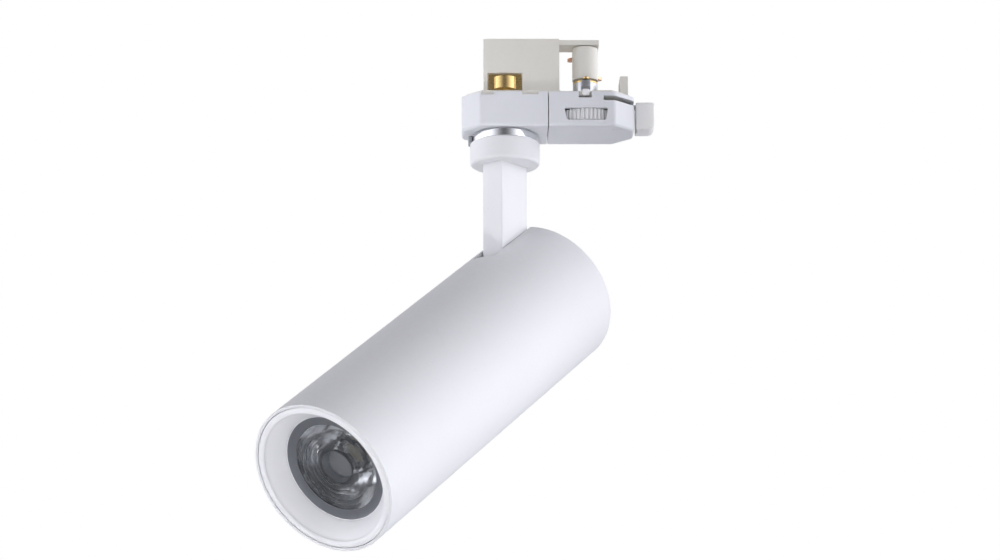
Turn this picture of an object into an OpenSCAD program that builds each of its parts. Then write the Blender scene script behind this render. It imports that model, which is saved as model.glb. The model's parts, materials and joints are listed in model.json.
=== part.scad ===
// Track spotlight: a cylindrical lamp head on a flat stem, a swivel collar and a plug-in track adapter.
// Frame: origin on the pan axis, in the plane where the adapter seats against the track's lower face.
// +Z is up into the track, +X runs along the track towards the lever end, -Y is the front.

/* [Pose as drawn] */
// Heading of the lamp head about the pan axis, degrees from straight out of the front
pan = 39.5; // [0:0.5:60]
// Dip of the lamp head below level, degrees
tilt = 35; // [0:1:80]

/* [Adapter covers] */
// Half width of the adapter covers
cover_half = 14; // [13:0.1:15]
// Step from the seat plane down to the covers' top rim
cover_top = 1.1; // [0.6:0.1:1.6]
// Seat plane down to the covers' underside
cover_depth = 15.3; // [14.2:0.1:15.5]
// Pan axis to the lamp end of the cover
lamp_end_x = 17.4; // [16.5:0.1:19]
// Pan axis to the joint between the two covers
split_x = 17.3; // [17:0.1:18]
// Pan axis to the lever end of the cover
nose_x = 52; // [51:0.1:53]
// Corner cut of the lamp end, seen from above
lamp_end_cut = 7.4; // [5:0.1:8]
// Corner cut of the lever end, seen from above
nose_cut = 8.1; // [6:0.1:9]
// Wall of the covers
cover_wall = 1.7; // [1.2:0.1:2]
// Rounding along the covers' lower edge
cover_round = 1.3; // [1:0.1:3]

/* [Adapter works] */
// Pan axis to the shared axis of the circuit wheel and the locking lever
wheel_x = 32.6; // [32.4:0.1:32.8]
// Outer radius of the circuit wheel
wheel_r = 14.3; // [14.1:0.05:14.4]
// Number of ribs round the circuit wheel
wheel_ribs = 52; // [36:2:60]
// Inside radius of the lever's hanging tab
tab_in_r = 20.7; // [20.5:0.1:21]
// Outside radius of the lever's hanging tab
tab_out_r = 27.7; // [25.5:0.1:28.5]
// Half width of the part that stands up into the track
tongue_half = 6.7; // [6:0.1:7]
// Height of the part that stands up into the track
tongue_h = 23.4; // [22.5:0.1:24]

/* [Swivel and stem] */
// Radius of the swivel collar
collar_r = 14; // [13.5:0.1:14.5]
// Seat plane down to the collar's top
collar_top = 19.2; // [19:0.1:20]
// Seat plane down to the collar's underside
collar_bottom = 28.3; // [27.5:0.1:30]
// Radius of the polished bearing ring
ring_r = 12.8; // [12:0.1:13.5]
// Width of the flat stem, along the heading
stem_w = 16.3; // [15:0.1:17]
// Thickness of the flat stem
stem_t = 10; // [9:0.1:10]
// Seat plane down to the tilt axis
pivot_drop = 74; // [70:0.5:85]

/* [Lamp head] */
// Outer diameter of the housing tube
tube_d = 60; // [60:0.5:62]
// Wall of the housing tube
tube_wall = 1.1; // [1:0.05:1.3]
// Length of the housing tube
tube_len = 162.5; // [160:0.5:180]
// Tilt axis ahead of the tube's rear end
pivot_u = 20.2; // [19.5:0.1:20.5]
// Tilt axis above the tube's centre line
pivot_v = 17.2; // [16.5:0.1:17.5]
// Length of the stem's slot, from the tube's rear end
slot_len = 29; // [29:0.1:32]
// Depth of the baffle, from the front rim to the lens ring
baffle_depth = 8; // [7:0.1:10]
// Radius of the baffle's mouth, inside its lip
baffle_mouth_r = 26.1; // [25:0.1:26.5]
// Radius of the baffle's inner opening
baffle_inner_r = 21.1; // [20.5:0.1:21.5]
// Radius of the lens that shows inside its ring
lens_show_r = 17.6; // [17:0.1:18]

/* [Hidden] */
$fn = 64;
eps = 0.01;
overcut = 1;
run_gap = 0.05;
tube_r = tube_d / 2;
bore_r = tube_r - tube_wall;
floor_z = cover_wall - cover_depth;
plate_low = -2.7;
screw_r = 1.5;
white = [0.9, 0.9, 0.91];
warm_white = [0.93, 0.92, 0.88];
grey = [0.45, 0.46, 0.48];
dark = [0.25, 0.25, 0.27];
steel = [0.72, 0.73, 0.75];
brass = [0.8, 0.65, 0.3];
copper = [0.75, 0.45, 0.3];
lead_colours = [[0.45, 0.28, 0.15], [0.2, 0.35, 0.7], [0.3, 0.55, 0.2]];

// ---------- frames ----------

// Swivel frame: X is the heading, Y is the tilt axis, Z is up, on the pan axis at the seat plane
module on_swivel() rotate([0, 0, -90 - pan]) children();

// Head frame: X runs forward along the tube from its rear end, Y is the tilt axis, Z is the tube's top
module on_head()
    translate([0, 0, -pivot_drop])
    rotate([0, 0, -90 - pan])
    rotate([0, tilt, 0])
    translate([-pivot_u, 0, -pivot_v])
    children();

// Turns a shape about Z into one about the head frame's X, with its start at x = at
module along_tube(at = 0) translate([at, 0, 0]) rotate([0, 90, 0]) rotate([0, 0, 90]) children();

// ---------- shared shapes ----------

module box(low, high) translate(low) cube(high - low);

module disc(r, low, high) translate([0, 0, low]) cylinder(r = r, h = high - low);

module tube(outer, inner, low, high)
    difference() {
        disc(outer, low, high);
        disc(inner, low - overcut, high + overcut);
    }

// A round rod from a to b
module rod(a, b, r) {
    run = b - a;
    reach = norm(run);
    translate(a)
        rotate([0, acos(run.z / reach), atan2(run.y, run.x)])
        cylinder(r = r, h = reach, $fn = 24);
}

lead_sides = 10;

function unit(v) = v / norm(v);

// Direction of a lead at its point i, halfway between the runs that meet there
function lead_way(points, i) =
    let (last = len(points) - 1,
         before = unit(points[max(i, 1)] - points[max(i, 1) - 1]),
         after = unit(points[min(i, last - 1) + 1] - points[min(i, last - 1)]))
    unit(before + after);

// Ring of points round a lead's point i; no lead runs straight along Y
function lead_ring(points, i, r) =
    let (way = lead_way(points, i), across = unit(cross(way, [0, 1, 0])), up = cross(way, across))
    [for (k = [0:lead_sides - 1])
        points[i] + r * (cos(k * 360 / lead_sides) * across + sin(k * 360 / lead_sides) * up)];

// An insulated lead swept through a list of points
module lead(points, r) {
    last = len(points) - 1;
    n = lead_sides;
    polyhedron(
        points = [for (i = [0:last]) each lead_ring(points, i, r)],
        faces = [
            [for (k = [0:n - 1]) k],
            for (i = [0:last - 1], k = [0:n - 1])
                each let (a = i * n + k, b = i * n + (k + 1) % n) [[a, a + n, b], [b, a + n, b + n]],
            [for (k = [n - 1:-1:0]) last * n + k]
        ]);
}

// A pan head screw pointing down, with its head's underside at z = 0 and a hexagon socket
module screw(length, r = screw_r, head_r = 2.8, head_h = 1.8)
    difference() {
        union() {
            disc(r, -length, eps);
            disc(head_r, 0, head_h);
        }
        translate([0, 0, 0.45 * head_h]) cylinder(r = 0.46 * head_r, h = 2, $fn = 6);
    }

// ---------- adapter covers ----------

// Plan of the lamp end, drawn in by an amount all round but not at the joint
function lamp_plan(inset) =
    let (cut = lamp_end_cut - inset * (2 - sqrt(2)), y = cover_half - inset, x = -lamp_end_x + inset)
    [[split_x - 0.18, -y], [split_x - 0.18, y], [x + cut, y], [x, y - cut], [x, cut - y], [x + cut, -y]];

// Plan of the lever end, drawn in by an amount all round but not at the joint
function nose_plan(inset) =
    let (cut = nose_cut - inset * (2 - sqrt(2)), y = cover_half - inset, x = nose_x - inset)
    [[split_x + 0.18, y], [split_x + 0.18, -y], [x - cut, -y], [x, cut - y], [x, y - cut], [x - cut, y]];

function cover_plan(lamp, inset) = lamp ? lamp_plan(inset) : nose_plan(inset);

// A cover's outer block: straight sides and a rounded lower edge
module cover_block(lamp)
    hull() {
        for (turn = [0:15:90])
            translate([0, 0, -cover_depth + cover_round * (1 - sin(turn))])
                linear_extrude(eps)
                polygon(cover_plan(lamp, cover_round * (1 - cos(turn))));
        translate([0, 0, -cover_top - eps])
            linear_extrude(eps)
            polygon(cover_plan(lamp, 0));
    }

module cover_hollow(lamp)
    translate([0, 0, floor_z])
    linear_extrude(cover_depth)
    polygon(cover_plan(lamp, cover_wall));

// Screw places that hold the covers to the chassis, on bosses that stand on the cover floor.
// The screws go in from the seat face.
lamp_bosses = [[-12.4, -5], [-12.4, 5]];
nose_bosses = [[19.7, -10.1], [19.7, 10.1]];
boss_r = 1.8;
boss_top = plate_low - 0.1;
cover_screw_r = 1;
recess_r = 1.7;
recess_deep = 1.2;

module bosses(places)
    for (p = places) translate([p.x, p.y, 0]) disc(boss_r, floor_z - eps, boss_top);

// Blind holes for the screws' threads
module boss_holes(places)
    for (p = places) translate([p.x, p.y, 0]) disc(cover_screw_r, -11, 0);

// Through holes and head recesses in the seat face
module seat_screw_holes()
    for (p = concat(lamp_bosses, nose_bosses)) translate([p.x, p.y, 0]) {
        disc(cover_screw_r + 0.1, plate_low - overcut, overcut);
        disc(recess_r, -recess_deep, overcut);
    }

notch_drop = 1.2;
post_r = 0.9;
post_x = 10.3;

module cover_lamp_end()
    color(white)
    difference() {
        union() {
            difference() {
                cover_block(true);
                cover_hollow(true);
                for (side = [-1, 1], span = [[-9.6, -4.4], [6.7, 13.5]])
                    box([span[0], side * cover_half - 2, -cover_top - notch_drop],
                        [span[1], side * cover_half + 2, overcut]);
            }
            bosses(lamp_bosses);
            translate([post_x, 0, 0]) disc(post_r, floor_z - eps, floor_z + 2);
        }
        boss_holes(lamp_bosses);
        disc(nipple_r + run_gap, -cover_depth - overcut, 0);
    }

window_low = [24.8, 40.3];
window_high = [23.7, 41.1];
window_z = [-12.9, -7.8];
catch_x = [29.5, 34.7];
catch_drop = 3.6;
lever_slot_z = [-4.7, -2.75];
lever_travel = 56;
// Dimple under the nose, where a tool rests to free the cover
release_dimple = [[42.6, -9.6, -cover_depth - overcut], [46.8, -8.4, -cover_depth + 0.6]];

module wheel_window()
    rotate([90, 0, 0])
    linear_extrude(2 * cover_half + 2 * overcut, center = true)
    polygon([[window_low[0], window_z[0]], [window_low[1], window_z[0]],
             [window_high[1], window_z[1]], [window_high[0], window_z[1]]]);

// The lever's slot round the nose, as a wedge about the wheel axis
module lever_slot() {
    reach = 30;
    spare = 8;
    translate([wheel_x, 0, lever_slot_z[0]])
        linear_extrude(lever_slot_z[1] - lever_slot_z[0])
        polygon([[0, 0],
            [reach * cos(lever_travel + spare), -reach * sin(lever_travel + spare)],
            [reach, -reach],
            [reach, reach * tan(spare)]]);
}

module cover_lever_end()
    color(white)
    difference() {
        union() {
            difference() {
                cover_block(false);
                cover_hollow(false);
                wheel_window();
                lever_slot();
                box([catch_x[0], -cover_half - overcut, -catch_drop], [catch_x[1], -cover_half + 2, overcut]);
            }
            bosses(nose_bosses);
            translate([wheel_x, 0, 0]) disc(2.9, floor_z - eps, -11.6);
        }
        boss_holes(nose_bosses);
        box(release_dimple[0], release_dimple[1]);
    }

// ---------- chassis ----------

hub_r = 5;
shaft_r = 3.35;
top_pin_r = 2;
cam_reach = 9;

// Leads drop through these holes in the chassis plate
lead_holes = [[8, -4], [8, 0], [8, 4]];
lead_hole_r = 1.2;

module chassis_plate()
    difference() {
        translate([0, 0, plate_low]) linear_extrude(-plate_low)
            polygon([for (p = lamp_plan(cover_wall + 0.15)) [p.x > 0 ? split_x : p.x, p.y]]);
        for (p = lead_holes) translate([p.x, p.y, 0]) disc(lead_hole_r, plate_low - overcut, overcut);
    }

module nose_plate()
    translate([0, 0, plate_low]) linear_extrude(-plate_low)
    polygon([for (p = nose_plan(cover_wall + 0.15)) [p.x < split_x + 1 ? split_x - eps : p.x, p.y]]);

contact_pocket = [-7, 7];
spring_x = [22.2, 33.6];
spring_y = [-12.1, -11.1];

module adapter_chassis()
    color(warm_white)
    difference() {
        union() {
            chassis_plate();
            nose_plate();
            difference() {
                box([-8.6, -tongue_half, -eps], [22, tongue_half, tongue_h]);
                box([3, -5, 1], [19.6, 5, tongue_h - 3]);
                for (p = lead_holes) translate([p.x, p.y, 0]) disc(lead_hole_r, -overcut, 2);
            }
            box([22 - eps, -5, tongue_h - 2], [wheel_x + 5.5, 5, tongue_h]);
            box([46.4, -tongue_half, -eps], [49.6, tongue_half, 7.5]);
        }
        seat_screw_holes();
        translate([wheel_x, 0, 0]) disc(hub_r + run_gap, plate_low - overcut, overcut);
        translate([wheel_x, 0, 0]) disc(top_pin_r + run_gap, tongue_h - 2 - overcut, tongue_h + overcut);
        for (side = [-1, 1])
            box([contact_pocket[0], side * tongue_half - 1, 1.2],
                [contact_pocket[1], side * tongue_half + 1, 9]);
        box([spring_x[0], -cover_half, plate_low - overcut], [catch_x[1] + 0.2, spring_y[1] + 0.1, overcut]);
    }

module chassis_screws()
    color(steel)
    for (p = concat(lamp_bosses, nose_bosses))
        translate([p.x, p.y, -recess_deep]) screw(8, cover_screw_r, recess_r - 0.1, recess_deep - 0.2);

// Two sprung earth strips, one on each side of the tongue, bowed out towards the track's rails
module earth_contacts()
    color(brass)
    for (side = [-1, 1])
        translate([0, side * (tongue_half - 1), 0]) {
            box([-6.6, min(0, side * 0.6), 1.6], [6.6, max(0, side * 0.6), 8.6]);
            intersection() {
                translate([0, side * -2.4, 2.4]) cylinder(r = 5.2, h = 5.1);
                box([-6, side > 0 ? 0.6 - eps : -4, 2.4], [6, side > 0 ? 4 : -0.6 + eps, 7.5]);
            }
        }

terminal_z = [-8, plate_low];
terminal_y = [-4, 0, 4];

module terminal_block()
    color(white)
    difference() {
        box([5.6, -6.2, terminal_z[0]], [15.4, 6.2, terminal_z[1]]);
        for (y = terminal_y) {
            translate([8, y, 0]) disc(lead_hole_r, terminal_z[0] + 2, overcut);
            translate([12.4, y, 0]) disc(1.6, terminal_z[0] - overcut, terminal_z[0] + 4);
            rod([4, y, -6.2], [9, y, -6.2], 0.9);
        }
    }

module terminal_screws()
    color(steel)
    for (y = terminal_y)
        translate([12.4, y, terminal_z[0] + 0.8]) difference() {
            cylinder(r = 1.5, h = 3.1);
            box([-2, -0.3, -overcut], [2, 0.3, 0.7]);
        }

// Leads from the terminals to the mouth of the hollow nipple, one each side of the last, inside its bore
module adapter_leads()
    for (i = [0:2]) {
        y = (i - 1) * 4;
        color(lead_colours[i])
            lead([[8.6, y, -6.2], [4.6, y, -6.2], [0.6, y * 0.525, -5.4], [0, y * 0.525, -7.6]], 0.75);
    }

// ---------- bearing ring, stop block, catch ----------

nipple_r = 4.9;

module bearing_ring()
    color(steel)
    difference() {
        union() {
            disc(ring_r - 1.2, -15.6, -cover_depth);
            rotate_extrude($fn = 96)
                polygon([[0, -19], [ring_r - 0.3, -19], [ring_r, -18.7],
                         [ring_r, -16.1], [ring_r - 0.5, -15.6], [0, -15.6]]);
        }
        disc(nipple_r + run_gap, -19 - overcut, 0);
    }

// Grey moulded block under the lamp end, behind the swivel
module stop_block()
    color(grey)
    difference() {
        box([-14.8, 0.5, -18.4], [-11, 6, -cover_depth]);
        translate([0, 0, -30]) cylinder(r = ring_r + 0.4, h = 30);
    }

plunger_x = [31, 33.6];
arm_z = [-2.2, -0.6];

// Sprung plunger in the front notch; its top bears on the track's lip
module catch_plunger()
    color(warm_white)
    union() {
        box([plunger_x[0], -cover_half - 0.2, -2.5], [plunger_x[1], -cover_half + 1.6, 0]);
        box([plunger_x[0], -cover_half + 1.6 - eps, arm_z[0]], [plunger_x[1], spring_y[1], arm_z[1]]);
    }

// Leaf spring in the chassis that pushes the plunger up
module catch_spring()
    color(steel)
    box([spring_x[0], spring_y[0], arm_z[0] - 0.3], [spring_x[1], spring_y[1], arm_z[0]]);

// ---------- circuit selector ----------

wheel_z = [-12.7, -7.9];

module selector_wheel()
    color(white)
    translate([wheel_x, 0, 0])
    difference() {
        union() {
            difference() {
                disc(wheel_r, wheel_z[0], wheel_z[1]);
                disc(wheel_r - 2, wheel_z[0] - overcut, wheel_z[1] + overcut);
            }
            disc(wheel_r - 1.5, -10.5, -9);
            disc(5, wheel_z[0], -5.2);
        }
        for (i = [0:wheel_ribs - 1])
            rotate([0, 0, i * 360 / wheel_ribs])
                translate([wheel_r + 0.12, 0, wheel_z[0] - overcut])
                cylinder(r = 0.5, h = 10, $fn = 16);
        disc(2.95, wheel_z[0] - overcut, -11.4);
        translate([0, 0, -10.5]) cylinder(r = shaft_r, h = 10, $fn = 6);
    }

contact_levels = [10.2, 14.2, 18.2];
contact_turns = [45, 90, 135];

module selector_rotor()
    color(warm_white)
    translate([wheel_x, 0, 0])
    difference() {
        union() {
            translate([0, 0, -10.5]) cylinder(r = shaft_r, h = 5.3, $fn = 6);
            disc(shaft_r, -5.2, 7.4);
            disc(5.2, 7.4 - eps, 20.9);
            disc(top_pin_r, 20.9 - eps, 22.8);
        }
        for (i = [0:2])
            rotate([0, 0, contact_turns[i]])
                box([2, -1.2, contact_levels[i] - 0.6], [7, 1.2, contact_levels[i] + 0.6]);
    }

module phase_contacts()
    color(copper)
    translate([wheel_x, 0, 0])
    for (i = [0:2])
        rotate([0, 0, contact_turns[i]]) {
            box([2, -1.2, contact_levels[i] - 0.6], [8.2, 1.2, contact_levels[i] + 0.6]);
            translate([8.2, 0, contact_levels[i] - 0.6]) cylinder(r = 1.2, h = 1.2);
        }

// ---------- locking lever ----------

lever_z = [-4.4, -3.05];
arm_half = 1.8;
tab_half = 5.5;
tab_z = [-14.2, -3.05];
tab_round = 2.6;

// The tab's side outline, with its outer lower corner rounded
module tab_side()
    rotate([90, 0, 0])
    linear_extrude(2 * tab_half, center = true)
    polygon([[wheel_x + 10, tab_z[1]], [wheel_x + tab_out_r, tab_z[1]],
             for (turn = [0:15:90]) [wheel_x + tab_out_r - tab_round * (1 - cos(turn)),
                                     tab_z[0] + tab_round * (1 - sin(turn))],
             [wheel_x + 10, tab_z[0]]]);

module lever_tab()
    color(warm_white)
    difference() {
        union() {
            translate([wheel_x, 0, 0]) {
                disc(12, lever_z[0], lever_z[1]);
                box([0, -arm_half, lever_z[0]], [tab_in_r + 2, arm_half, lever_z[1]]);
            }
            difference() {
                tab_side();
                translate([wheel_x, 0, -20]) cylinder(r = tab_in_r, h = 30, $fn = 96);
            }
        }
        translate([wheel_x, 0, 0]) disc(hub_r, lever_z[0] - overcut, lever_z[1] + overcut);
    }

module lock_cam()
    color(steel)
    translate([wheel_x, 0, 0])
    difference() {
        union() {
            disc(hub_r, lever_z[0], 5.8);
            intersection() {
                box([-1.8, -cam_reach, 2.6], [1.8, cam_reach, 5.4]);
                disc(cam_reach, 2.6, 5.4);
            }
        }
        disc(shaft_r + run_gap, lever_z[0] - overcut, 6 + overcut);
    }

module neutral_contact()
    color(brass)
    translate([wheel_x, 0, 0])
    difference() {
        union() {
            disc(hub_r, 5.8, 6.6);
            box([-1.2, -8.4, 5.8], [1.2, 0, 6.6]);
            translate([0, -8.4, 5.8]) cylinder(r = 1.2, h = 0.8);
        }
        disc(shaft_r + 0.4, 5.8 - overcut, 6.6 + overcut);
    }

// ---------- swivel ----------

nipple_bore_r = 3.6;
nipple_top = -8;
flange_top = -22.6;
flange_r = 11.4;
collar_floor = 2.2;
stem_hollow = [9, 5];

module collar()
    color(white)
    on_swivel()
    difference() {
        rotate_extrude($fn = 128)
            polygon([[0, -collar_bottom],
                     for (turn = [0:15:90])
                         [collar_r - 1.1 * (1 - sin(turn)), -collar_bottom + 1.1 * (1 - cos(turn))],
                     [collar_r, -collar_top - 0.3], [collar_r - 0.3, -collar_top], [0, -collar_top]]);
        disc(collar_r - 2, -collar_bottom + collar_floor, 0);
        box([-stem_w / 2, -stem_t / 2, -collar_bottom - overcut], [stem_w / 2, stem_t / 2, 0]);
        for (x = [-1, 1]) translate([0, x * 8, 0]) disc(screw_r, -collar_bottom + 0.6, 0);
    }

module stem()
    color(white)
    on_swivel()
    difference() {
        union() {
            disc(flange_r, -collar_bottom + collar_floor, flange_top);
            box([-stem_w / 2, -stem_t / 2, -pivot_drop],
                [stem_w / 2, stem_t / 2, -collar_bottom + collar_floor + eps]);
            translate([0, stem_t / 2, -pivot_drop])
                rotate([90, 0, 0])
                cylinder(r = stem_w / 2, h = stem_t, $fn = 96);
        }
        disc(nipple_r, -collar_bottom + collar_floor, 0);
        box([-stem_hollow[0] / 2, -stem_hollow[1] / 2, -62],
            [stem_hollow[0] / 2, stem_hollow[1] / 2, flange_top - 1]);
        box([-stem_w, -2, -62], [0, 2, -57]);
        translate([0, stem_t, -pivot_drop]) rotate([90, 0, 0]) cylinder(r = pin_r + run_gap, h = 2 * stem_t);
        for (x = [-1, 1]) translate([0, x * 8, 0]) disc(screw_r + 0.1, -collar_bottom, 0);
    }

module stem_screws()
    color(steel)
    on_swivel()
    for (x = [-1, 1]) translate([0, x * 8, flange_top]) screw(4.8, screw_r, 2.6, 1.6);

module hollow_nipple()
    color(steel)
    on_swivel()
    tube(nipple_r, nipple_bore_r, -collar_bottom + collar_floor, nipple_top);

washer_z = [-13.5 + run_gap, -12.95];
stop_z = [-12.95, -11.95];
nut_z = [-11.95, -8.95];

module friction_washer()
    color(dark)
    tube(8.5, nipple_r, washer_z[0], washer_z[1]);

// Washer keyed to the nipple; its tab runs round to the post in the cover and stops the pan
module stop_washer()
    color(steel)
    difference() {
        union() {
            disc(8.5, stop_z[0], stop_z[1]);
            box([-11.2, -0.8, stop_z[0]], [-7, 0.8, stop_z[1]]);
        }
        disc(nipple_r, stop_z[0] - overcut, stop_z[1] + overcut);
    }

module nipple_nut()
    color(brass)
    on_swivel()
    difference() {
        translate([0, 0, nut_z[0]]) cylinder(r = 8.1, h = nut_z[1] - nut_z[0], $fn = 6);
        disc(nipple_r, nut_z[0] - overcut, nut_z[1] + overcut);
    }

module stem_leads()
    on_swivel()
    for (i = [0:2]) {
        y = (i - 1) * 1.7;
        color(lead_colours[i])
            lead([[0, y * 1.2, -8.4], [0, y * 1.2, -20], [0, y, -25], [0, y, -58],
                  [-2.4, y * 0.8, -59.6], [-7, y * 0.8, -59.6]], 0.55);
    }

// ---------- lamp head: housing and tilt joint ----------

slot_half = 5.6;
cap_u = [0.6, 3.4];
pin_r = 2.5;
notch_low = 8.4;

module housing_tube()
    color(white)
    on_head()
    difference() {
        along_tube() tube(tube_r, bore_r, 0, tube_len);
        box([-overcut, -slot_half, 15], [slot_len, slot_half, tube_r + 5]);
    }

cap_screws = [[-17, -6], [17, -6]];

module rear_cap()
    color(white)
    on_head()
    difference() {
        along_tube() disc(bore_r - 0.1, cap_u[0], cap_u[1]);
        box([-5, -slot_half, notch_low], [10, slot_half, tube_r + 5]);
        for (p = cap_screws) translate([0, p.x, p.y]) along_tube() {
            disc(screw_r + 0.1, -5, 10);
            disc(2.9, -5, cap_u[0] + 1.6);
        }
        for (i = [-3:3]) box([-5, i * 5 - 1, -22 + abs(i) * 1.2], [10, i * 5 + 1, -12]);
    }

module rear_cap_screws()
    color(steel)
    on_head()
    for (p = cap_screws)
        translate([cap_u[0] + 1.6, p.x, p.y]) rotate([0, -90, 0]) screw(5, screw_r, 2.8, 1.5);

cheek_w = [5.6, 7.8];
tray_v = [2.4, 4];
bracket_v = 6;
bracket_u = [8, 34];

module pin_hole(r) translate([pivot_u, 0, pivot_v]) rotate([90, 0, 0]) cylinder(r = r, h = 60, center = true);

bracket_places = [[13, 0], [30, 0]];

module tilt_bracket()
    color(steel)
    on_head()
    difference() {
        union() {
            box([bracket_u[0], -cheek_w[1], tray_v[1]], [bracket_u[1], cheek_w[1], bracket_v]);
            for (side = [-1, 1])
                translate([0, side > 0 ? cheek_w[0] : -cheek_w[1], 0]) {
                    box([bracket_u[0] + 4, 0, tray_v[1]],
                        [bracket_u[1] - 4, cheek_w[1] - cheek_w[0], pivot_v]);
                    translate([pivot_u, cheek_w[1] - cheek_w[0], pivot_v])
                        rotate([90, 0, 0]) cylinder(r = 8, h = cheek_w[1] - cheek_w[0]);
                }
        }
        pin_hole(pin_r + run_gap);
        for (p = bracket_places) translate([p.x, p.y, 0]) disc(screw_r + 0.1, 0, 10);
        translate([21.5, 0, 0]) disc(3.2, 0, 10);
    }

module bracket_screws()
    color(steel)
    on_head()
    for (p = bracket_places) translate([p.x, p.y, bracket_v]) screw(3.6, screw_r, 2.7, 1.6);

module pivot_bolt()
    color(steel)
    on_head()
    translate([pivot_u, 0, pivot_v])
    rotate([90, 0, 0])
    difference() {
        union() {
            disc(pin_r, -12.4, cheek_w[1] + eps);
            disc(4.2, cheek_w[1], cheek_w[1] + 3);
        }
        translate([0, 0, cheek_w[1] + 1.2]) cylinder(r = 2.2, h = 4, $fn = 6);
    }

module pivot_nut()
    color(steel)
    on_head()
    translate([pivot_u, 0, pivot_v])
    rotate([-90, 0, 0])
    difference() {
        translate([0, 0, cheek_w[1]]) cylinder(r = 4.6, h = 4, $fn = 6);
        disc(pin_r + run_gap, 0, 20);
    }

module pivot_washers()
    color(dark)
    on_head()
    translate([pivot_u, 0, pivot_v])
    rotate([90, 0, 0])
    for (side = [0, 1]) mirror([0, 0, side])
        tube(6, pin_r + run_gap, stem_t / 2 + run_gap, cheek_w[0]);

// ---------- lamp head: gear tray and driver ----------

tray_u = [5, 88];
sink_u = [90, 130];
tray_half = 17;

module gear_tray()
    color(steel)
    on_head()
    difference() {
        union() {
            box([tray_u[0], -tray_half, tray_v[0]], [sink_u[0], tray_half, tray_v[1]]);
            box([cap_u[1], -20, -10], [tray_u[0] + eps, 20, tray_v[1]]);
            box([sink_u[0] - 1.6, -8, tray_v[0]], [sink_u[0], 8, 20]);
        }
        for (p = cap_screws) translate([0, p.x, p.y]) along_tube() disc(screw_r, 0, 10);
        for (p = bracket_places) translate([p.x, p.y, 0]) disc(screw_r, 0, 10);
        for (v = [8, 16]) translate([0, 0, v]) along_tube() disc(screw_r + 0.1, 80, 100);
        translate([21.5, 0, 0]) disc(3.2, 0, 10);
        for (w = [-1, 1], u = [44, 78]) translate([u, w * 13, 0]) disc(screw_r + 0.1, 0, 10);
    }

module tray_screws()
    color(steel)
    on_head() {
        for (v = [8, 16])
            translate([sink_u[0] - 1.6, 0, v]) rotate([0, -90, 0]) screw(7, screw_r, 2.7, 1.6);
        for (w = [-1, 1], u = [44, 78])
            translate([u, w * 13, tray_v[1]]) screw(8, screw_r, 2.7, 1.6);
    }

case_u = [38, 84];
case_half = 18.5;
case_v = [-18, tray_v[0]];
case_wall = 1.5;
lid_v = 1.8;

// Open-topped driver case with bosses for the tray's screws
module driver_case()
    color(dark)
    on_head()
    difference() {
        union() {
            difference() {
                box([case_u[0], -case_half, case_v[0]], [case_u[1], case_half, case_v[1] - lid_v]);
                box([case_u[0] + case_wall, -case_half + case_wall, case_v[0] + case_wall],
                    [case_u[1] - case_wall, case_half - case_wall, case_v[1]]);
            }
            for (w = [-1, 1], u = [44, 78])
                translate([u, w * 13, 0]) {
                    disc(2.6, case_v[0] + 1, case_v[1] - lid_v);
                    disc(3.6, case_v[0] + 1, board_v[0]);
                }
        }
        for (w = [-1, 1], u = [44, 78]) translate([u, w * 13, 0]) disc(screw_r, -6, 10);
        translate([case_u[0] - 5, 0, -6]) rotate([0, 90, 0]) cylinder(r = 3, h = 10);
        translate([case_u[1] - 5, 0, -6]) rotate([0, 90, 0]) cylinder(r = 3, h = 10);
    }

module driver_lid()
    color(dark)
    on_head()
    difference() {
        box([case_u[0], -case_half, case_v[1] - lid_v], [case_u[1], case_half, case_v[1]]);
        for (w = [-1, 1], u = [44, 78]) translate([u, w * 13, 0]) disc(screw_r + 0.1, -6, 10);
    }

board_v = [-13.6, -12];

module driver_board()
    color([0.15, 0.4, 0.25])
    on_head()
    difference() {
        box([case_u[0] + 2.2, -case_half + 2.2, board_v[0]], [case_u[1] - 2.2, case_half - 2.2, board_v[1]]);
        for (w = [-1, 1], u = [44, 78]) translate([u, w * 13, 0]) disc(2.9, -20, 0);
    }

// Transformer, capacitors, coil and switch on the driver board
module driver_parts()
    color([0.75, 0.72, 0.2])
    on_head() {
        box([56, -6, board_v[1]], [68, 6, -3.4]);
        for (w = [-8, 8]) translate([50, w, 0]) disc(3.2, board_v[1], -2.5);
        translate([73, 0, 0]) disc(3, board_v[1], -5);
        box([60, 9, board_v[1]], [66, 12, -6]);
        box([60, -13, board_v[1]], [67, -9.5, -7]);
    }

// Supply leads, from under the tilt bracket to the driver's rear entry
module supply_leads()
    on_head()
    for (i = [0:2]) {
        w = (i - 1) * 1.7;
        color(lead_colours[i])
            lead([[21.5, w, 8], [21.5, w, 1], [24, w, -6], [42.5, w, -6]], 0.7);
    }

// Two leads from the driver through the heat sink to the LED board
module led_leads()
    on_head()
    for (side = [0, 1])
        color(side == 0 ? [0.8, 0.1, 0.1] : [0.1, 0.1, 0.1])
        lead([[80, side * 1.8 - 0.9, -6], [86.5, side * 1.8 - 0.9, -6],
              [88.8, sink_gap_w + side * 1.6 - 0.8, -13],
              [131.6, sink_gap_w + side * 1.6 - 0.8, -13]], 0.6);

// ---------- lamp head: heat sink, LED and optics ----------

sink_r = bore_r - 0.1;
sink_base = 8;
fin_pitch = 5.2;
fin_t = 1.6;
sink_gap_w = 7.8;

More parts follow.
